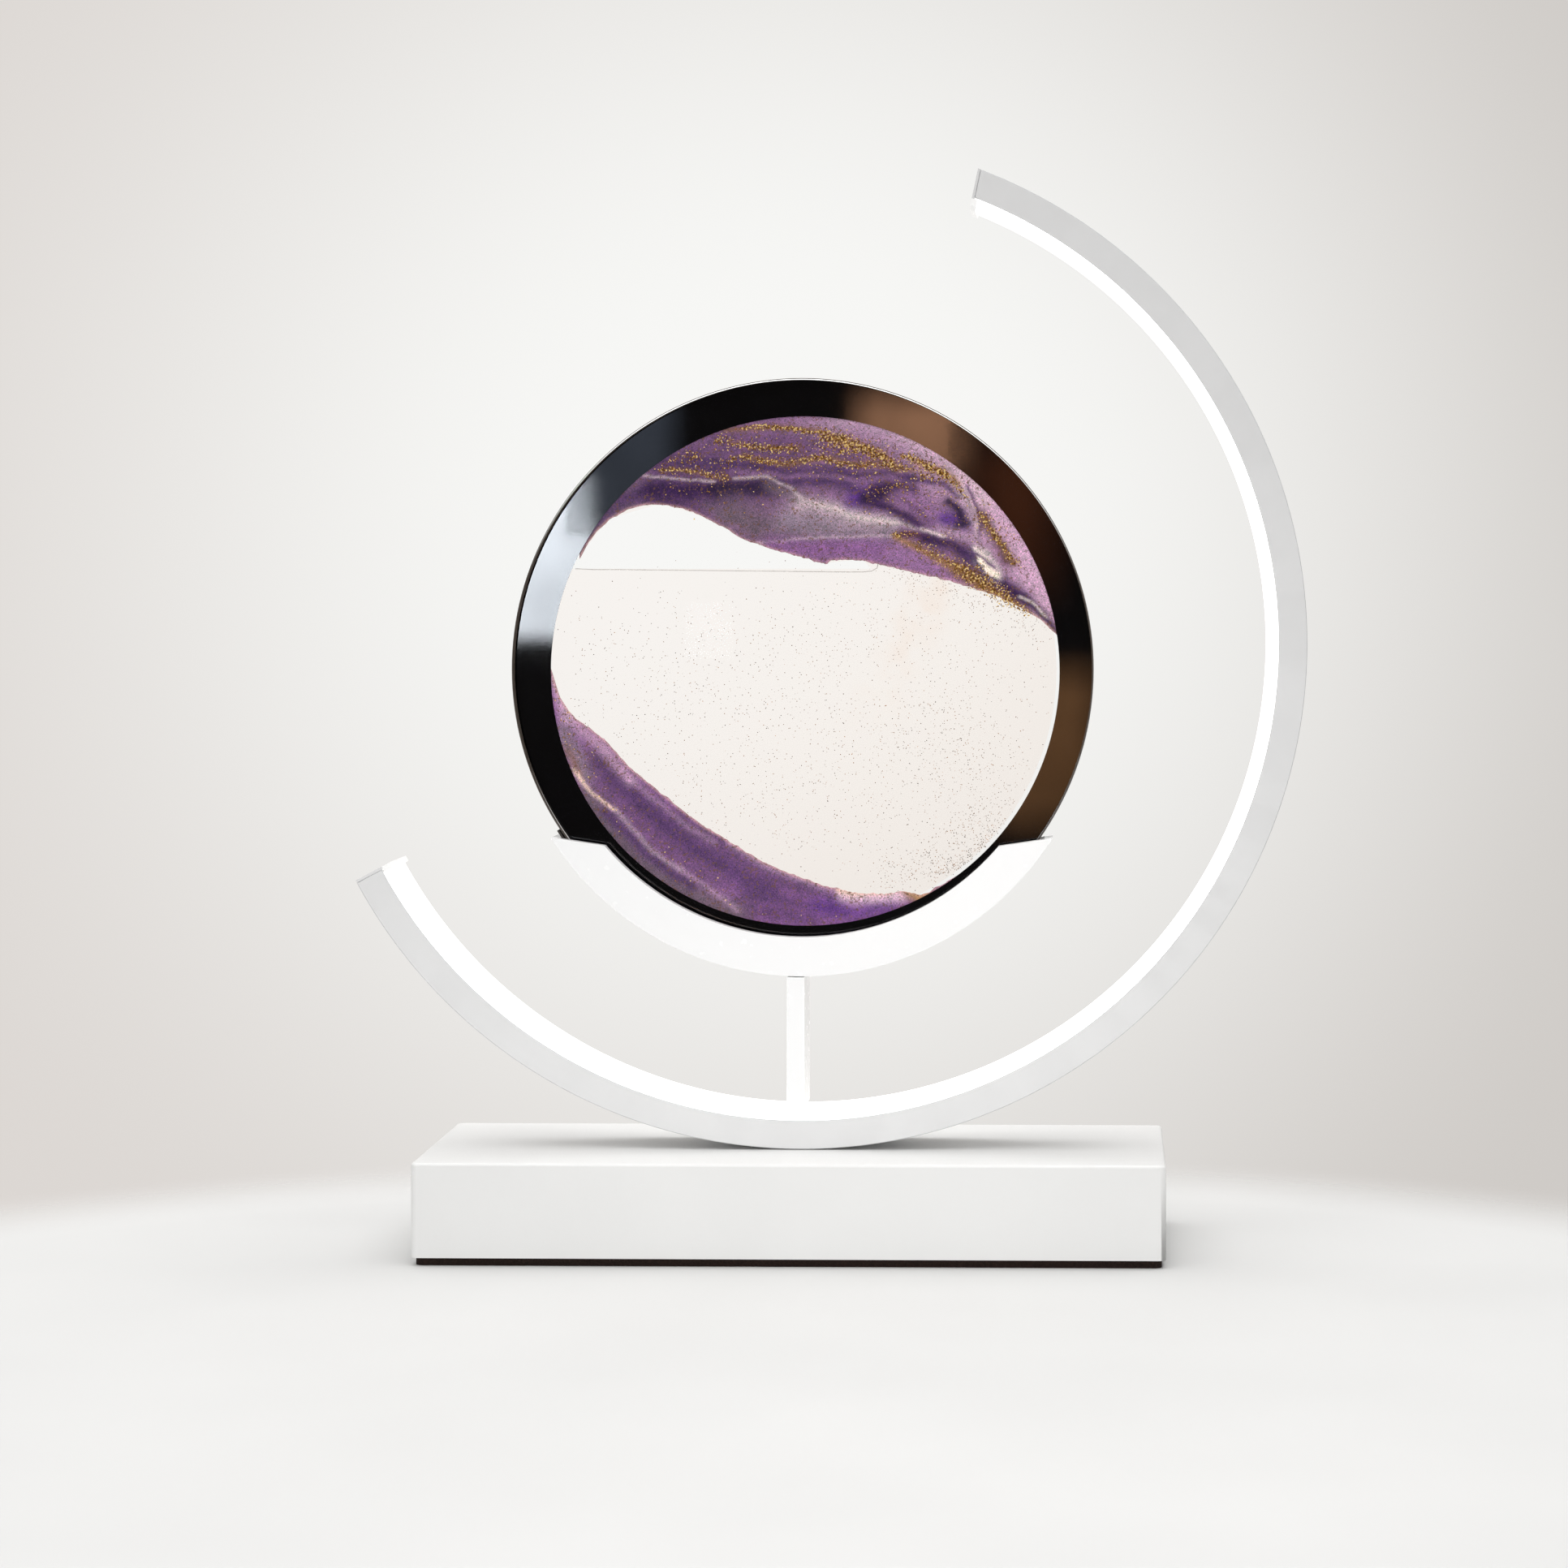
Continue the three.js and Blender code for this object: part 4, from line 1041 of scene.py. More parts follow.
# %% Grey veil and dark cells
upper_strokes += [
    # greyed veil in the middle
    ("smoke", 5.2, 0.85, [(905, 632), (940, 648), (985, 652)]),
    ("veil", 4.6, 0.95, [(975, 640), (1020, 644), (1064, 650), (1096, 654)]),
    ("ash", 2.4, 0.8, [(1000, 652), (1050, 654), (1090, 657)]),
    ("haze", 2.8, 0.8, [(985, 622), (1010, 626), (1045, 636), (1078, 644)]),
    ("mist", 1.7, 0.75, [(990, 618), (1012, 622), (1040, 630), (1070, 638), (1100, 643)]),
    ("chalk", 0.6, 0.5, [(1000, 619), (1040, 630), (1070, 638), (1100, 643), (1130, 650)]),
    ("mist", 0.45, 0.7, [(790, 583), (810, 586), (832, 591), (852, 594), (880, 593)]),
    ("mist", 0.55, 0.75, [(904, 590), (922, 588), (942, 588), (958, 591), (974, 596),
                         (981, 603), (991, 615)]),
    ("mist", 0.5, 0.75, [(932, 668), (960, 666), (1010, 663), (1060, 661), (1104, 662)]),
    # violet below it
    ("violet", 3.4, 0.85, [(950, 672), (1000, 679), (1050, 676), (1092, 678)]),
    ("soft violet", 3.4, 0.85, [(1100, 680), (1132, 692), (1164, 704), (1188, 718)]),
    # deep cells right of the middle
    ("vivid", 2.8, 0.85, [(1050, 614), (1064, 610), (1078, 608)]),
    ("ink", 2.2, 0.95, [(1064, 612), (1078, 610), (1090, 606)]),
    ("deep violet", 1.9, 0.95, [(1076, 604), (1094, 598), (1112, 599), (1128, 604)]),
    ("deep violet", 1.7, 0.95, [(1076, 618), (1096, 624), (1114, 634), (1134, 645)]),
    ("soft violet", 3.0, 0.7, [(1118, 612), (1134, 620), (1146, 632)]),
    ("plum", 1.0, 0.7, [(1104, 610), (1120, 618), (1136, 632), (1150, 644)]),
    ("vivid", 2.8, 0.9, [(1168, 640), (1180, 640), (1186, 646)]),
    ("ink", 1.6, 0.95, [(1170, 620), (1182, 630), (1190, 646), (1180, 648)]),
    ("dusk", 1.2, 0.9, [(1116, 586), (1146, 592), (1166, 600), (1182, 614)]),
    ("haze", 1.6, 0.8, [(1168, 582), (1184, 604), (1198, 628), (1204, 652)]),
    ("pale lilac", 0.5, 0.9, [(1180, 590), (1194, 612), (1202, 636), (1201, 660)]),
    ("plum", 0.5, 0.9, [(1190, 600), (1198, 618), (1207, 640), (1206, 660)]),
    ("lilac", 2.0, 0.7, [(1160, 655), (1180, 660), (1200, 662)]),
]
print(len(upper_strokes), "strokes so far")

# %% [markdown]
# Dust of the gold stains the sand, so brown tints lie under each line of glitter. A dark fold
# runs down to the rim on the right, with white wisps beside it and a white patch in it.

# %% Folds, wisps and brown tints
upper_strokes += [
    # brown under the gold on the right
    ("wine", 2.2, 0.8, [(1206, 632), (1218, 652), (1230, 668), (1242, 690)]),
    ("umber", 1.0, 0.8, [(1208, 636), (1222, 654), (1238, 676), (1250, 694)]),
    ("ochre", 1.3, 0.85, [(1104, 662), (1136, 676), (1160, 690), (1184, 704)]),
    ("umber", 2.7, 0.9, [(1180, 700), (1204, 712), (1228, 727), (1252, 744)]),
    ("ochre", 1.2, 0.8, [(1196, 712), (1226, 730), (1262, 754), (1272, 762)]),
    # dark fold that runs to the rim
    ("wine", 1.1, 0.9, [(1110, 658), (1128, 657), (1144, 664)]),
    ("deep violet", 2.3, 0.95, [(1140, 664), (1170, 671), (1196, 686)]),
    ("dusk", 2.6, 0.95, [(1196, 686), (1216, 704), (1240, 722), (1264, 738)]),
    ("deep violet", 1.7, 0.95, [(1240, 722), (1264, 740), (1284, 756), (1300, 776)]),
    # white wisps and the white patch in the fold
    ("chalk", 0.6, 0.7, [(1136, 651), (1150, 657), (1162, 660)]),
    ("chalk", 1.2, 0.95, [(1202, 676), (1210, 680), (1218, 688)]),
    ("white", 1.4, 1.0, [(1208, 690), (1220, 701), (1230, 709)]),
    ("mist", 0.8, 0.9, [(1214, 678), (1224, 688), (1232, 700)]),
    ("plum", 0.4, 0.95, [(1203, 682), (1215, 689), (1227, 699)]),
    ("dusk", 0.5, 0.9, [(1196, 676), (1204, 694), (1220, 710), (1234, 716)]),
    ("chalk", 0.45, 0.7, [(1258, 736), (1274, 745), (1290, 760)]),
    ("blush", 0.7, 0.9, [(1270, 759), (1284, 768), (1298, 782)]),
    # thin tints below the gold lines
    ("umber", 0.9, 0.75, [(890, 529), (925, 525), (970, 528), (1010, 533), (1040, 545)]),
    ("ochre", 1.6, 0.75, [(1030, 542), (1060, 551), (1088, 563), (1104, 575)]),
    ("umber", 0.9, 0.75, [(914, 561), (940, 568), (970, 570), (1000, 565), (1022, 566)]),
    ("umber", 0.8, 0.7, [(1022, 566), (1050, 573), (1080, 574), (1126, 578)]),
    ("umber", 0.8, 0.6, [(896, 545), (930, 550), (960, 553), (984, 552)]),
    ("ochre", 1.2, 0.75, [(1126, 565), (1150, 577), (1170, 589), (1180, 598)]),
    ("umber", 0.8, 0.6, [(814, 578), (840, 581), (872, 586), (896, 588)]),
]
sand_sheet(
    "sand_upper_veils", "sand_upper", upper_edge, "mauve", upper_strokes,
    above=True, columns=260, rows=88, seed=1,
)

# %% [markdown]
# The lower mass has sunk to the lower left. One pale stripe runs through it, side by side with
# its edge, and it is greyer below that stripe.

# %% Lower sand
lower_edge = on_disc([
    (676, 823), (679, 832), (682, 843), (687, 858), (699, 878), (711, 889), (724, 898),
    (737, 908), (749, 918), (760, 931), (772, 945), (785, 956), (799, 967), (811, 977),
    (824, 987), (836, 997), (849, 1007), (868, 1021), (888, 1032), (905, 1043), (923, 1054),
    (940, 1064), (958, 1072), (978, 1080), (998, 1087), (1015, 1093), (1033, 1097),
    (1050, 1101), (1068, 1103), (1090, 1103), (1108, 1100), (1117, 1100), (1135, 1105),
    (1160, 1092), (1185, 1077), (1202, 1068),
])
lower_strokes = [
    # deep violet core
    ("plum", 6.0, 0.6, [(728, 930), (761, 964), (793, 988), (819, 1018), (870, 1056)]),
    ("dusk", 4.4, 0.85, [(740, 940), (780, 985), (830, 1030), (890, 1068), (950, 1098)]),
    ("dusk", 2.6, 0.75, [(836, 1010), (878, 1030), (910, 1052), (950, 1076), (1000, 1096)]),
    ("plum", 2.0, 0.7, [(850, 1020), (900, 1052), (960, 1084), (1020, 1104)]),
    ("dusk", 3.0, 0.6, [(920, 1100), (970, 1114), (1030, 1122)]),
    ("vivid", 3.0, 0.55, [(1010, 1118), (1050, 1124), (1096, 1118)]),
    # bright ridge below the edge
    ("orchid", 1.9, 0.6, [(694, 876), (716, 904), (736, 922), (757, 942), (775, 962)]),
    ("lilac", 1.2, 0.3, [(775, 962), (805, 986), (840, 1014), (880, 1040)]),
    ("lilac", 1.4, 0.35, [(900, 1042), (940, 1064), (985, 1084), (1020, 1096)]),
    ("lilac", 2.2, 0.8, [(680, 838), (688, 862), (698, 884)]),
    # greyer, pinkish left side
    ("ash", 3.2, 0.8, [(692, 900), (702, 930), (716, 956)]),
    ("umber", 1.2, 0.5, [(696, 926), (704, 944), (712, 958)]),
    ("plum", 2.2, 0.7, [(750, 984), (790, 1022), (846, 1066), (880, 1088)]),
    ("dusk", 2.2, 0.6, [(905, 1112), (950, 1128), (1000, 1136)]),
    # pale stripe, dark under it
    ("smoke", 4.6, 0.95, [(722, 984), (752, 1032), (806, 1078), (862, 1112), (905, 1130)]),
    ("dusk", 1.6, 0.85, [(742, 1002), (782, 1040), (812, 1066), (850, 1096)]),
    ("blush", 0.6, 0.75, [(702, 950), (718, 967), (736, 984), (755, 1000)]),
    ("haze", 0.8, 0.55, [(755, 1000), (776, 1022), (797, 1044), (816, 1060), (838, 1073)]),
    ("lilac", 0.9, 0.4, [(838, 1073), (864, 1092), (886, 1107), (908, 1121)]),
    # the thin right end
    ("pale lilac", 2.2, 0.9, [(1038, 1103), (1070, 1106), (1110, 1104)]),
    ("blush", 1.0, 0.8, [(1030, 1098), (1060, 1101), (1095, 1100)]),
    ("tan", 2.2, 0.95, [(1122, 1098), (1132, 1104), (1140, 1098)]),
    ("violet", 2.0, 0.8, [(1150, 1096), (1178, 1080), (1202, 1064)]),
]
sand_sheet(
    "sand_lower_veils", "sand_lower", lower_edge, "violet", lower_strokes,
    above=False, columns=260, rows=70, seed=5,
)

# %% [markdown]
# ## Gold flakes
#
# The gold in the sand is fine mica glitter. Each flake is a tiny flat plate that lies at its
# own angle, so some flash and some stay dark, which is why they are real plates here and not a
# pattern. Mica glints through a thin coat of oxide, so it is only partly a metal to the eye. The
# flakes' colour runs at random from dark brown through gold to pale cream: partly their own
# tone, and partly painted glints.

# %% Gold mica
gold, tree, shader = new_material("gold_mica_flake", {"Metallic": 0.35, "Roughness": 0.35})
place = millimetres(tree)
glitter_mm = 0.7
dull = mottle(tree, place, glitter_mm, "#6A4214", "#CE8E34", ends=(0.35, 0.6), detail=0)
# Painted glints: some flakes get a pale cream colour, as if they caught the light.
painted_glints = mottle(tree, place, glitter_mm, dull, "#FFE096", ends=(0.52, 0.62), detail=0)
plug(painted_glints, shader, "Base Color")

# %% [markdown]
# The flakes crowd along a few lines and thin out away from them. A seeded generator places
# them, so each run gives the same ones. A patch of flakes is built for each line and then added
# to the rest, which is faster than one mesh that grows.

# %% Scatter flakes
FLAKE_SIDES = 5
FLAKE_TIP = 0.35                # how far a flake typically tips or swings, in radians
FLAKE_SIZES = (0.6, 1.4)        # smallest and largest, as shares of the usual size
CLEAR_OF_RIM_MM = 0.8


def scatter_flakes(name, lines, size_mm, depth, material, body, seed):
    """Plates along lines: each line has points, a spread in millimetres and a count."""
    rng = np.random.default_rng(seed)
    limit = window_radius / MM - CLEAR_OF_RIM_MM
    shape = bmesh.new()
    for line, spread_mm, count in lines:
        path = on_disc(line)
        lengths = np.linalg.norm(np.diff(path, axis=0), axis=1)
        patch = bmesh.new()
        for _ in range(count):
            k = rng.choice(len(lengths), p=lengths / lengths.sum())
            spot = path[k] + rng.random() * (path[k + 1] - path[k])
            spot = spot + rng.normal(0, spread_mm, 2)
            turn = rng.random() * math.pi
            tip, swing = rng.normal(0, FLAKE_TIP), rng.normal(0, FLAKE_TIP)
            size = size_mm * rng.uniform(*FLAKE_SIZES)
            if np.linalg.norm(spot) > limit:
                continue
            spin = (
                Matrix.Rotation(swing, 4, "Z") @ Matrix.Rotation(math.pi / 2 + tip, 4, "X")
                @ Matrix.Rotation(turn, 4, "Z")
            )
            bmesh.ops.create_circle(
                patch, cap_ends=True, segments=FLAKE_SIDES, radius=size / 2 * MM,
                matrix=Matrix.Translation(in_window(*spot, depth)) @ spin,
            )
        patch_mesh = bpy.data.meshes.new("patch")
        patch.to_mesh(patch_mesh)
        patch.free()
        shape.from_mesh(patch_mesh)
        bpy.data.meshes.remove(patch_mesh)
    to_piece(name, shape, [material], body, [], smooth=5)


# %% [markdown]
# Most of the gold lies in the upper mass, along its folds. A few loose flakes were carried down
# with the lower mass. They all lie just in front of the sand.

# %% Gold flakes
just_in_front = 0.1 * MM
flake_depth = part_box("sand_upper")[0].y - just_in_front
gold_lines = [
    ([(888, 529), (906, 526), (940, 525), (970, 528), (1006, 533)], 0.45, 325),
    ([(1006, 533), (1030, 542), (1050, 548), (1070, 555), (1088, 563)], 1.25, 805),
    ([(1088, 563), (1098, 569), (1106, 576)], 0.7, 95),
    ([(1010, 550), (1030, 554), (1054, 558)], 0.8, 110),
    ([(880, 542), (898, 542), (912, 547), (930, 550)], 0.8, 125),
    ([(930, 550), (948, 553), (970, 552), (984, 552)], 0.7, 185),
    ([(802, 576), (818, 566), (838, 562), (864, 564)], 1.0, 170),
    ([(896, 570), (914, 562), (940, 568), (970, 570), (990, 567), (1008, 563)], 0.7, 295),
    ([(1008, 563), (1022, 566), (1036, 573), (1060, 574), (1080, 574)], 0.6, 230),
    ([(1080, 574), (1104, 575), (1126, 578), (1140, 586)], 0.6, 110),
    ([(814, 579), (838, 581), (862, 580), (872, 586), (892, 586), (898, 592)], 0.7, 200),
    ([(1110, 562), (1126, 565), (1138, 571)], 0.6, 125),
    ([(1138, 571), (1150, 577), (1160, 582), (1168, 588)], 0.8, 295),
    ([(1168, 588), (1176, 595), (1184, 606), (1190, 614)], 0.6, 80),
    ([(1126, 588), (1142, 586), (1156, 592)], 0.6, 60),
    ([(1208, 634), (1220, 652), (1230, 664)], 0.7, 140),
    ([(1228, 662), (1240, 678), (1248, 689), (1256, 696)], 0.7, 125),
    ([(1212, 624), (1232, 648), (1258, 668)], 1.0, 45),
    ([(1098, 660), (1120, 658), (1128, 657)], 0.6, 60),
    ([(1130, 672), (1150, 681), (1168, 692), (1184, 703)], 1.2, 185),
    ([(1180, 699), (1200, 709), (1220, 722), (1242, 737)], 1.5, 650),
    ([(1240, 738), (1254, 747), (1268, 757)], 0.7, 125),
    ([(1060, 606), (1110, 598), (1124, 596)], 0.8, 60),
    ([(840, 556), (960, 562), (1100, 566)], 4.5, 405),
    ([(820, 590), (900, 606), (960, 612)], 4.0, 60),
    ([(1040, 590), (1130, 610), (1200, 650)], 5.0, 170),
]
scatter_flakes("gold_flakes_upper", gold_lines, 0.43, flake_depth, gold,
               "disc", seed=11)
scatter_flakes("gold_flakes_lower", [
    ([(684, 860), (700, 915), (735, 950)], 2.2, 45),
    ([(700, 935), (760, 1000), (830, 1060), (900, 1110)], 2.0, 70),
    ([(860, 1105), (960, 1128), (1060, 1134)], 1.2, 22),
], 0.42, flake_depth, gold, "disc", seed=12)

# %% [markdown]
# ## The liquid
#
# The cell is full of clear water with a little glycol. It shows only by a faint warm tint, by
# loose grains that drift in it, and by the thin line where it meets the trapped air. The tint
# is a coloured transparent shader on the frame's own solid. It deepens towards the lower right,
# and a blush of fine dyed dust trails from the gold down to the left.

# %% Liquid
liquid, tree, shader = new_material("glycol_water", {})
tree.nodes.remove(shader)
place = millimetres(tree, centre=(disc_centre.x, 0, disc_centre.z))
to_lower_right, across_trail, upwards = (0.7, 0, -0.7), (0.9, 0, -0.44), (0, 0, 1)
haze_start_mm, haze_end_mm = -45, 50
trail_distance_mm, trail_core_mm, trail_edge_mm = 26, 1, 11
trail_bottom_mm, trail_top_mm, cloud_mm = -26, 18, 9

downhill, across, height = (
    add_node(tree, "ShaderNodeVectorMath", {"operation": "DOT_PRODUCT"}, {0: place, 1: way})
    for way in (to_lower_right, across_trail, upwards)
)
lower_right = add_node(tree, "ShaderNodeMapRange", {}, {
    "Value": downhill, "From Min": haze_start_mm, "From Max": haze_end_mm,
})
haze = add_node(tree, "ShaderNodeMix", {"data_type": "RGBA"}, {
    "Factor": lower_right, "A": "#FFFDFC", "B": "#FEFBF9",
})
beside = add_node(tree, "ShaderNodeMath", {"operation": "SUBTRACT"}, {
    0: across, 1: trail_distance_mm,
})
off_trail = add_node(tree, "ShaderNodeMath", {"operation": "ABSOLUTE"}, {0: beside})
blush = add_node(tree, "ShaderNodeMapRange", {}, {
    "Value": off_trail, "From Min": trail_core_mm, "From Max": trail_edge_mm,
    "To Min": 1, "To Max": 0,
})
cloudy = mottle(tree, place, cloud_mm, 0, 1, ends=(0.42, 0.62), detail=4)
near_gold = add_node(tree, "ShaderNodeMapRange", {}, {
    "Value": height, "From Min": trail_bottom_mm, "From Max": trail_top_mm,
})
for part in (cloudy, near_gold):
    blush = add_node(tree, "ShaderNodeMath", {"operation": "MULTIPLY"}, {0: blush, 1: part})
tint = add_node(tree, "ShaderNodeMix", {"data_type": "RGBA"}, {
    "Factor": blush, "A": haze, "B": "#FEF8F4",
})
show(tree, add_node(tree, "ShaderNodeBsdfTransparent", {}, {"Color": tint}))

# %% [markdown]
# Where water meets glass and air it climbs a little, and that curve bends light away, so it
# shows as a grey line. It is a thin round thread here, drawn as a curve and made a mesh.

# %% Meniscus
meniscus = mottled_material(
    "meniscus", {"Roughness": 0.15, "IOR": 1.33}, 5, "#B9B4AE", "#DAD6D1",
)
water_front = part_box("liquid")[0].y
thread_radius = 0.13 * MM
water_line = on_disc([
    (707, 701), (730, 702), (760, 702), (850, 703), (950, 704), (1040, 705), (1062, 705),
    (1074, 704), (1081, 700), (1082, 695),
])
curve_data = bpy.data.curves.new("water_line", "CURVE")
curve_data.dimensions = "3D"
curve_data.bevel_depth = thread_radius
curve_data.bevel_resolution = 2
curve_data.use_fill_caps = True
spline = curve_data.splines.new("POLY")
spline.points.add(len(water_line) - 1)
for point, (x, z) in zip(spline.points, water_line):
    point.co = (*in_window(x, z, water_front - just_in_front), 1)
thread = bpy.data.objects.new("water_line_curve", curve_data)
bpy.context.collection.objects.link(thread)
evaluated = thread.evaluated_get(bpy.context.evaluated_depsgraph_get())
shape = bmesh.new()
shape.from_mesh(evaluated.to_mesh())
bpy.data.objects.remove(thread)
to_piece("water_line", shape, [meniscus], "fluid", [])

# %% [markdown]
# Loose grains drift in the liquid: most are dark or golden dust, thickest right of the middle.
# They are the same small plates as the glitter, in a darker finish.

# %% Drifting grains
just_inside = 0.3 * MM
dust = mottled_material(
    "drifting_sand_grains", {"Roughness": 0.6, "IOR": 1.45}, 2.0, "#4A382C", "#A07247",
    ends=(0.42, 0.58),
)
scatter_flakes("drifting_grains", [
    ([(720, 800), (900, 800), (1100, 760), (1260, 810)], 11, 880),
    ([(730, 880), (1000, 890), (1260, 900)], 13, 1050),
    ([(860, 980), (1050, 1000), (1220, 980)], 11, 710),
    ([(1130, 880), (1180, 930), (1230, 990)], 9, 370),
    ([(1090, 1080), (1160, 1060), (1235, 1000)], 4.0, 510),
    ([(1150, 1080), (1190, 1062), (1225, 1035)], 1.5, 260),
    ([(1090, 705), (1150, 722), (1220, 742), (1290, 785)], 2.4, 260),
], 0.26, water_front + just_inside, dust, "fluid", seed=21)

# %% [markdown]
# ## Finishes for the frame's own solids
#
# What stays as the frame made it gets its finish through its material slot.

# %% Dress the frame's solids
finishes = [
    (liquid, ["liquid"]),
    (foam, ["base_pad"]),
    (matt_abs, ["bottom_cover", "switch_body"]),
    (laminate, ["driver_board"]),
    (strip_white, ["led_strip", "led_lead"]),
    (silicone, ["fill_plug"]),
    (zinc, ["stem_nut_front", "stem_nut_rear", "tie_rod_front", "tie_rod_rear"]),
    (zinc, ["ballast_left", "ballast_right"]),
    (zinc, [f"{kind}_{i}" for kind in ("ring_nut", "ring_screw", "board_screw") for i in (1, 2)]),
    (zinc, [f"cover_screw_{i}" for i in (1, 2, 3, 4)]),
]
for material, nodes in finishes:
    for node in nodes:
        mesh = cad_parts[node].data
        mesh.materials.clear()
        mesh.materials.append(material)
print(sum(len(nodes) for _, nodes in finishes), "solids dressed")

# %% [markdown]
# ## Floor and background
#
# The lamp stands on a plain pale floor, whose matt paint is very slightly uneven. The floor is
# a disc that reaches far forward, and it fades out a little behind the lamp, so a soft horizon
# lies below the glass.

# %% Floor
FLOOR_Y, FLOOR_RADIUS = -250, 440           # millimetres, as all of the floor's sizes
FADE_START, FADE_END = 350, 430
UNEVEN_PAINT, FLOOR_SINK = 120, 0.02
floor_paint, tree, shader = new_material("pale_floor", {"Roughness": 0.6, "IOR": 1.45})
place = millimetres(tree)
plug(mottle(tree, place, UNEVEN_PAINT, "#CFCFCE", "#D3D3D2"), shader, "Base Color")
far = add_node(tree, "ShaderNodeVectorMath", {"operation": "DISTANCE"}, {
    0: place, 1: (0, FLOOR_Y, 0),
})
fade = add_node(tree, "ShaderNodeMapRange", {"interpolation_type": "SMOOTHSTEP"}, {
    "Value": far, "From Min": FADE_START, "From Max": FADE_END,
})
gone = add_node(tree, "ShaderNodeBsdfTransparent")
show(tree, add_node(tree, "ShaderNodeMixShader", {}, {0: fade, 1: shader, 2: gone}))

shape = bmesh.new()
bmesh.ops.create_circle(shape, cap_ends=True, segments=96, radius=FLOOR_RADIUS * MM)
bmesh.ops.translate(shape, verts=shape.verts, vec=(0, FLOOR_Y * MM, -FLOOR_SINK * MM))
floor = to_object("floor", shape, floor_paint)
print("floor", 2 * FLOOR_RADIUS, "mm across")

# %% [markdown]
# Beyond the floor the world shows a pale glow behind the lamp that turns to warm grey at the
# sides, a little darker on the right. Mirrors see a dark studio behind the camera instead.
# What lights the lamp is a plain even white, so the backdrop tints nothing: a Light Path node
# tells the rays apart.

# %% World
LIGHT_FROM_ALL_SIDES = 0.58
world = bpy.data.worlds.new("studio")
bpy.context.scene.world = world
world.use_nodes = True
tree = world.node_tree
tree.nodes.clear()
direction = add_node(tree, "ShaderNodeTexCoord").outputs["Generated"]
split = add_node(tree, "ShaderNodeSeparateXYZ", {}, {"Vector": direction})
path = add_node(tree, "ShaderNodeLightPath")

glow_middle = Vector((-5, 0, 228)) * MM
glow_start, glow_end = math.radians(2.6), math.radians(16.5)
to_glow = (glow_middle - camera_place).normalized()
facing = add_node(tree, "ShaderNodeVectorMath", {"operation": "DOT_PRODUCT"}, {
    0: direction, 1: to_glow,
})
away = add_node(tree, "ShaderNodeMath", {"operation": "ARCCOSINE"}, {0: facing})
off_glow = add_node(tree, "ShaderNodeMapRange", {"interpolation_type": "SMOOTHSTEP"}, {
    "Value": away, "From Min": glow_start, "From Max": glow_end,
})
# Each of these runs from 0 to 1 between two parts of a direction of length 1.
rightwards, behind_eye, forwards = (
    add_node(tree, "ShaderNodeMapRange", {}, {
        "Value": split.outputs[axis], "From Min": start, "From Max": end,
    })
    for axis, start, end in (("X", -0.29, 0.115), ("Y", 0.8, 0.2), ("Y", -0.35, 0.15))
)
sides = add_node(tree, "ShaderNodeMix", {"data_type": "RGBA"}, {
    "Factor": rightwards, "A": "#DCD7D3", "B": "#CFCBC7",
})
all_round = add_node(tree, "ShaderNodeMix", {"data_type": "RGBA"}, {
    "Factor": behind_eye, "A": sides, "B": "#E4E2E0",
})
backdrop = add_node(tree, "ShaderNodeMix", {"data_type": "RGBA"}, {
    "Factor": off_glow, "A": "#F7F7F5", "B": all_round,
})
mirrored = add_node(tree, "ShaderNodeMix", {"data_type": "RGBA"}, {
    "Factor": forwards, "A": "#3E3A39", "B": backdrop,
})
shown = add_node(tree, "ShaderNodeMix", {"data_type": "RGBA"}, {
    "Factor": path.outputs["Is Glossy Ray"], "A": backdrop, "B": mirrored,
})
looked_at = path.outputs["Is Camera Ray"]
for ray in ("Is Glossy Ray", "Is Transmission Ray"):
    looked_at = add_node(tree, "ShaderNodeMath", {"operation": "MAXIMUM"}, {
        0: looked_at, 1: path.outputs[ray],
    })
even_light = add_node(tree, "ShaderNodeBackground", {}, {
    "Color": "#FFFEFD", "Strength": LIGHT_FROM_ALL_SIDES,
})
picture = add_node(tree, "ShaderNodeBackground", {}, {"Color": shown, "Strength": 1.0})
mixed = add_node(tree, "ShaderNodeMixShader", {}, {0: looked_at, 1: even_light, 2: picture})
add_node(tree, "ShaderNodeOutputWorld", inputs={"Surface": mixed})
print("world:", len(tree.nodes), "nodes")

# %% [markdown]
# ## Lights
#
# One large soft box hangs above, and it makes tops lighter than fronts. A small one with a grid,
# which keeps its beam narrow, stands low in front, so the lower part of the ring is lighter
# than the upper part.

# %% Soft boxes
def soft_box(name, place, target, size, power, beam):
    """A square area lamp that looks at a target and casts no highlight."""
    lamp = bpy.data.lights.new(name, "AREA")
    lamp.shape = "SQUARE"
    lamp.size = size
    lamp.energy = power
    lamp.spread = math.radians(beam)
    holder = bpy.data.objects.new(name, lamp)
    bpy.context.collection.objects.link(holder)
    holder.location = place
    look = Vector(target) - Vector(place)
    holder.rotation_euler = look.to_track_quat("-Z", "Y").to_euler()
    holder.visible_glossy = False
    print(name, power, "W")


soft_box("soft_box_above", (0.0, 0.03, 1.4), (0, 0, 0.1), size=2.0, power=27, beam=180)
soft_box("soft_box_low", (0.05, -0.9, 0.12), (0.01, 0, 0.05), size=0.22, power=0.2, beam=50)

# %% [markdown]
# The studio behind the camera is dark, so the black mirror coat would show nothing. Glowing
# cards stand there that only reflections can see: cool ones on the left and warm brown ones on
# the right. Each card is placed by the patch of the disc in which it should appear: a mirror
# sends the eye's ray back as if the camera stood behind the disc.

# %% Place of a mirrored card
CARD_DISTANCE = 1500 * MM


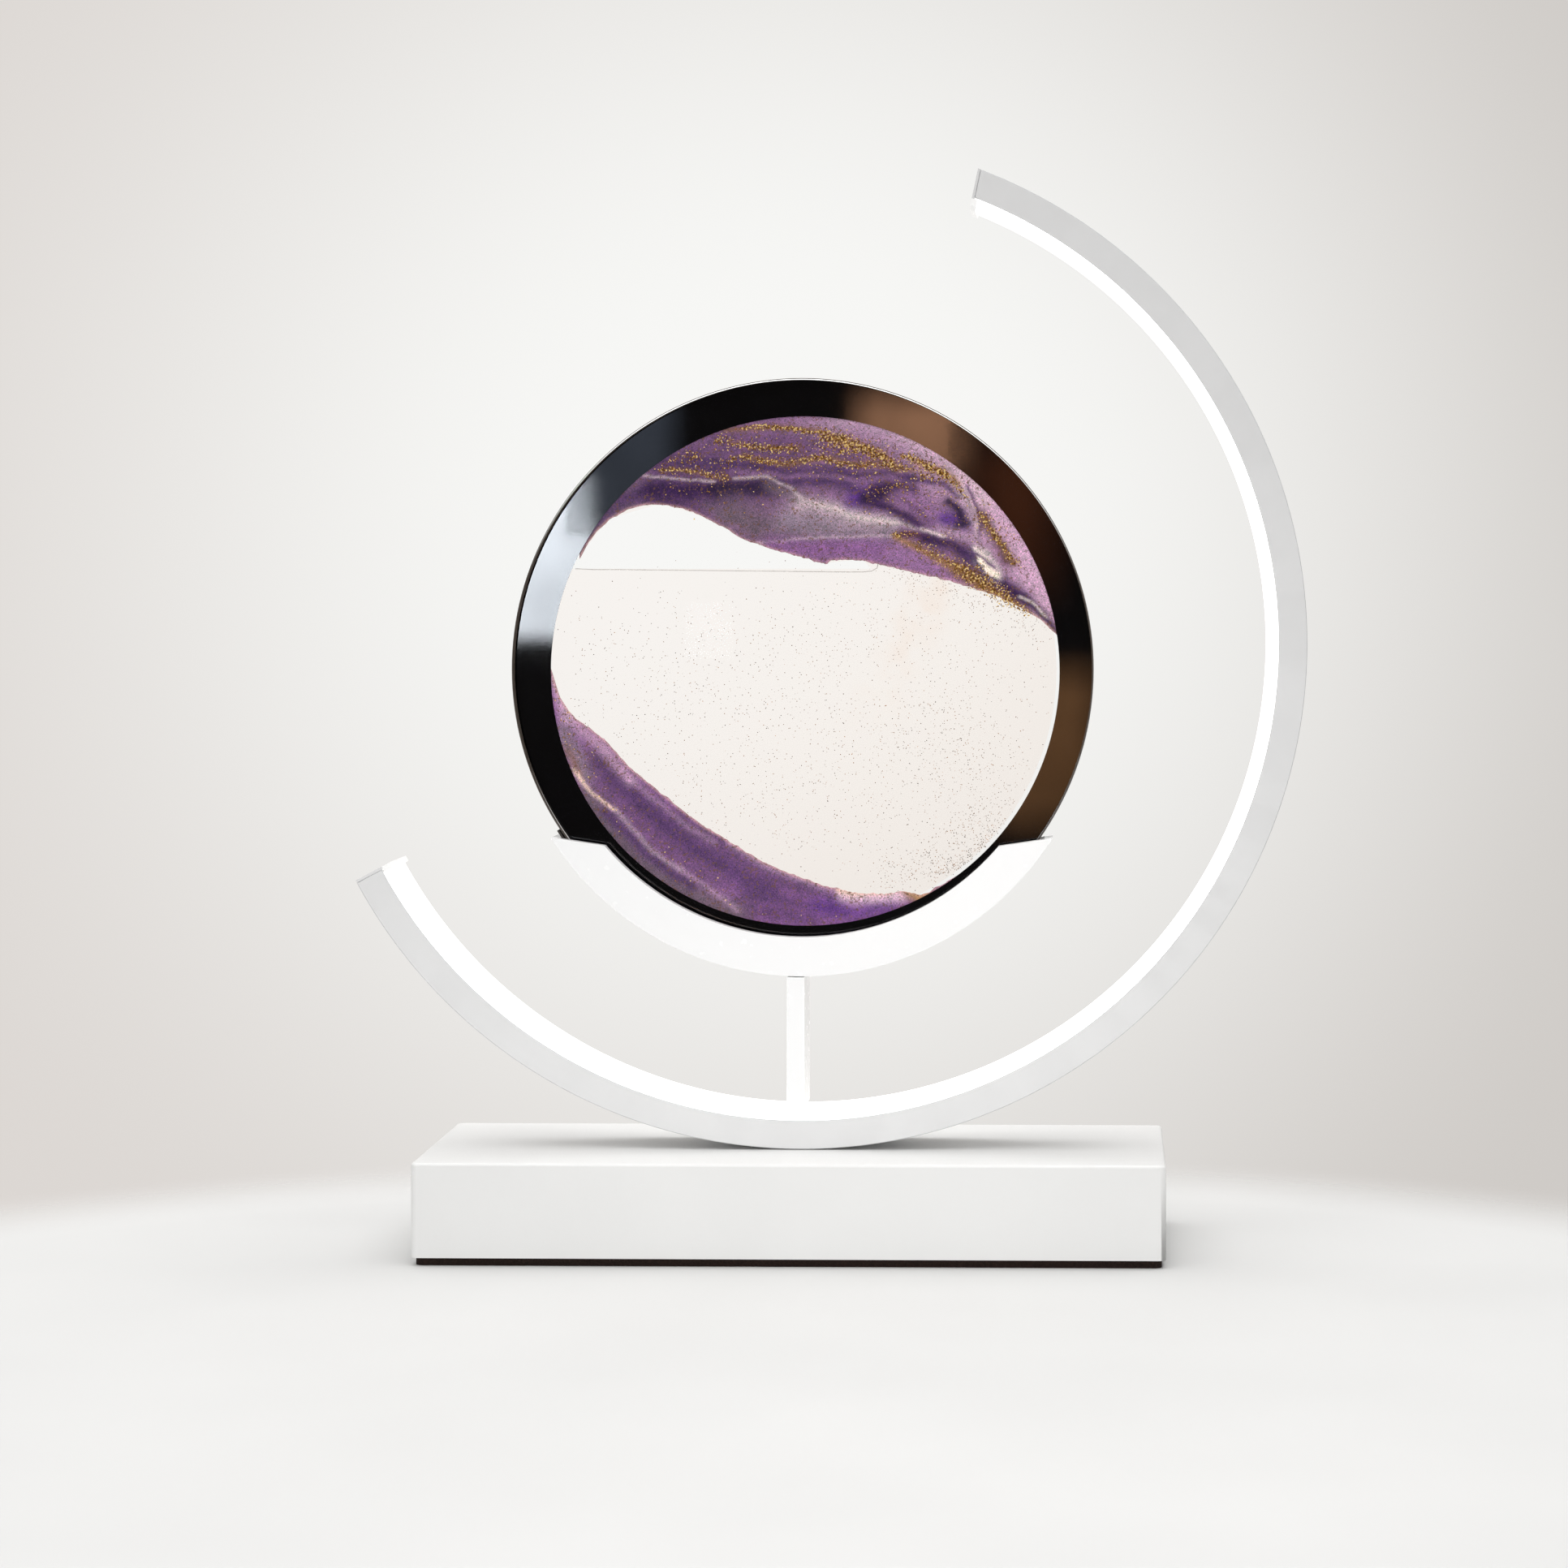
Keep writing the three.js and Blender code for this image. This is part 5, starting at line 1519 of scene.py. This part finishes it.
def behind_camera(u, v):
    """The place, in the plane of the cards, that the disc mirrors at a picture point."""
    mirror_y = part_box("front_glass")[0].y
    on_mirror = in_window(*on_disc([(u, v)])[0], 0)
    mirrored_camera = Vector((camera_place.x, 2 * mirror_y - camera_place.y, camera_place.z))
    reach = (mirrored_camera.y + CARD_DISTANCE) / (mirrored_camera.y - mirror_y)
    return mirrored_camera + reach * (on_mirror - mirrored_camera)


print("middle of the disc mirrors", [round(v, 2) for v in behind_camera(WINDOW_U, WINDOW_V)])

# %% [markdown]
# A card glows in one colour, a little unevenly, and fades out towards its four sides, so that
# no sharp edge shows in the black coat. The fade is a product of two: one from the left and
# right sides, and one from the top and bottom.

# %% Cards for the reflections
UNEVEN_MM, UNEVEN_SHARE = 90, 0.6


def mirror_card(name, corners, hex_colour, strength, feather_mm):
    """A glowing card, seen only in reflections, whose light fades towards its edges."""
    low, high = (behind_camera(*corner) for corner in corners)
    middle, half = (low + high) / 2, (high - low) / 2
    material, tree, shader = new_material(name, {})
    tree.nodes.remove(shader)
    place = millimetres(tree, centre=(middle.x, 0, middle.z))
    axes = add_node(tree, "ShaderNodeSeparateXYZ", {}, {"Vector": place})
    fades = []
    for axis, reach in (("X", abs(half.x) / MM), ("Z", abs(half.z) / MM)):
        off_middle = add_node(tree, "ShaderNodeMath", {"operation": "ABSOLUTE"}, {
            0: axes.outputs[axis],
        })
        fades.append(add_node(tree, "ShaderNodeMapRange", {}, {
            "Value": off_middle, "From Min": reach, "From Max": reach - feather_mm,
        }))
    mask = add_node(tree, "ShaderNodeMath", {"operation": "MULTIPLY"}, dict(enumerate(fades)))
    glow = add_node(tree, "ShaderNodeEmission", {}, {
        "Color": hex_colour,
        "Strength": mottle(tree, place, UNEVEN_MM, UNEVEN_SHARE * strength, strength),
    })
    gone = add_node(tree, "ShaderNodeBsdfTransparent")
    show(tree, add_node(tree, "ShaderNodeMixShader", {}, {0: mask, 1: gone, 2: glow}))
    shape = bmesh.new()
    bmesh.ops.create_grid(shape, x_segments=1, y_segments=1, size=1)
    bmesh.ops.scale(shape, verts=shape.verts, vec=(abs(half.x), abs(half.z), 1))
    stand_up(shape, middle)
    card = to_object(name, shape, material)
    card.visible_camera = card.visible_diffuse = False
    card.visible_transmission = card.visible_shadow = False


mirror_card("bright_cool_card", ((560, 796), (746, 578)), "#E9F0F8", 24, feather_mm=13)
mirror_card("dim_cool_card", ((700, 660), (850, 470)), "#8C96A8", 2.9, feather_mm=22)
mirror_card("warm_card_above", ((1040, 610), (1215, 470)), "#C08D6C", 11, feather_mm=26)
mirror_card("dim_warm_card", ((1170, 760), (1330, 520)), "#8C5236", 3.4, feather_mm=40)
mirror_card("warm_card_below", ((1200, 1040), (1380, 800)), "#B07F55", 4.9, feather_mm=34)

# %% [markdown]
# ## Colour management
#
# The picture is shown as it is lit, without a film look, so a colour renders as written.

# %% Finish
scene = bpy.context.scene
scene.view_settings.view_transform = "Standard"
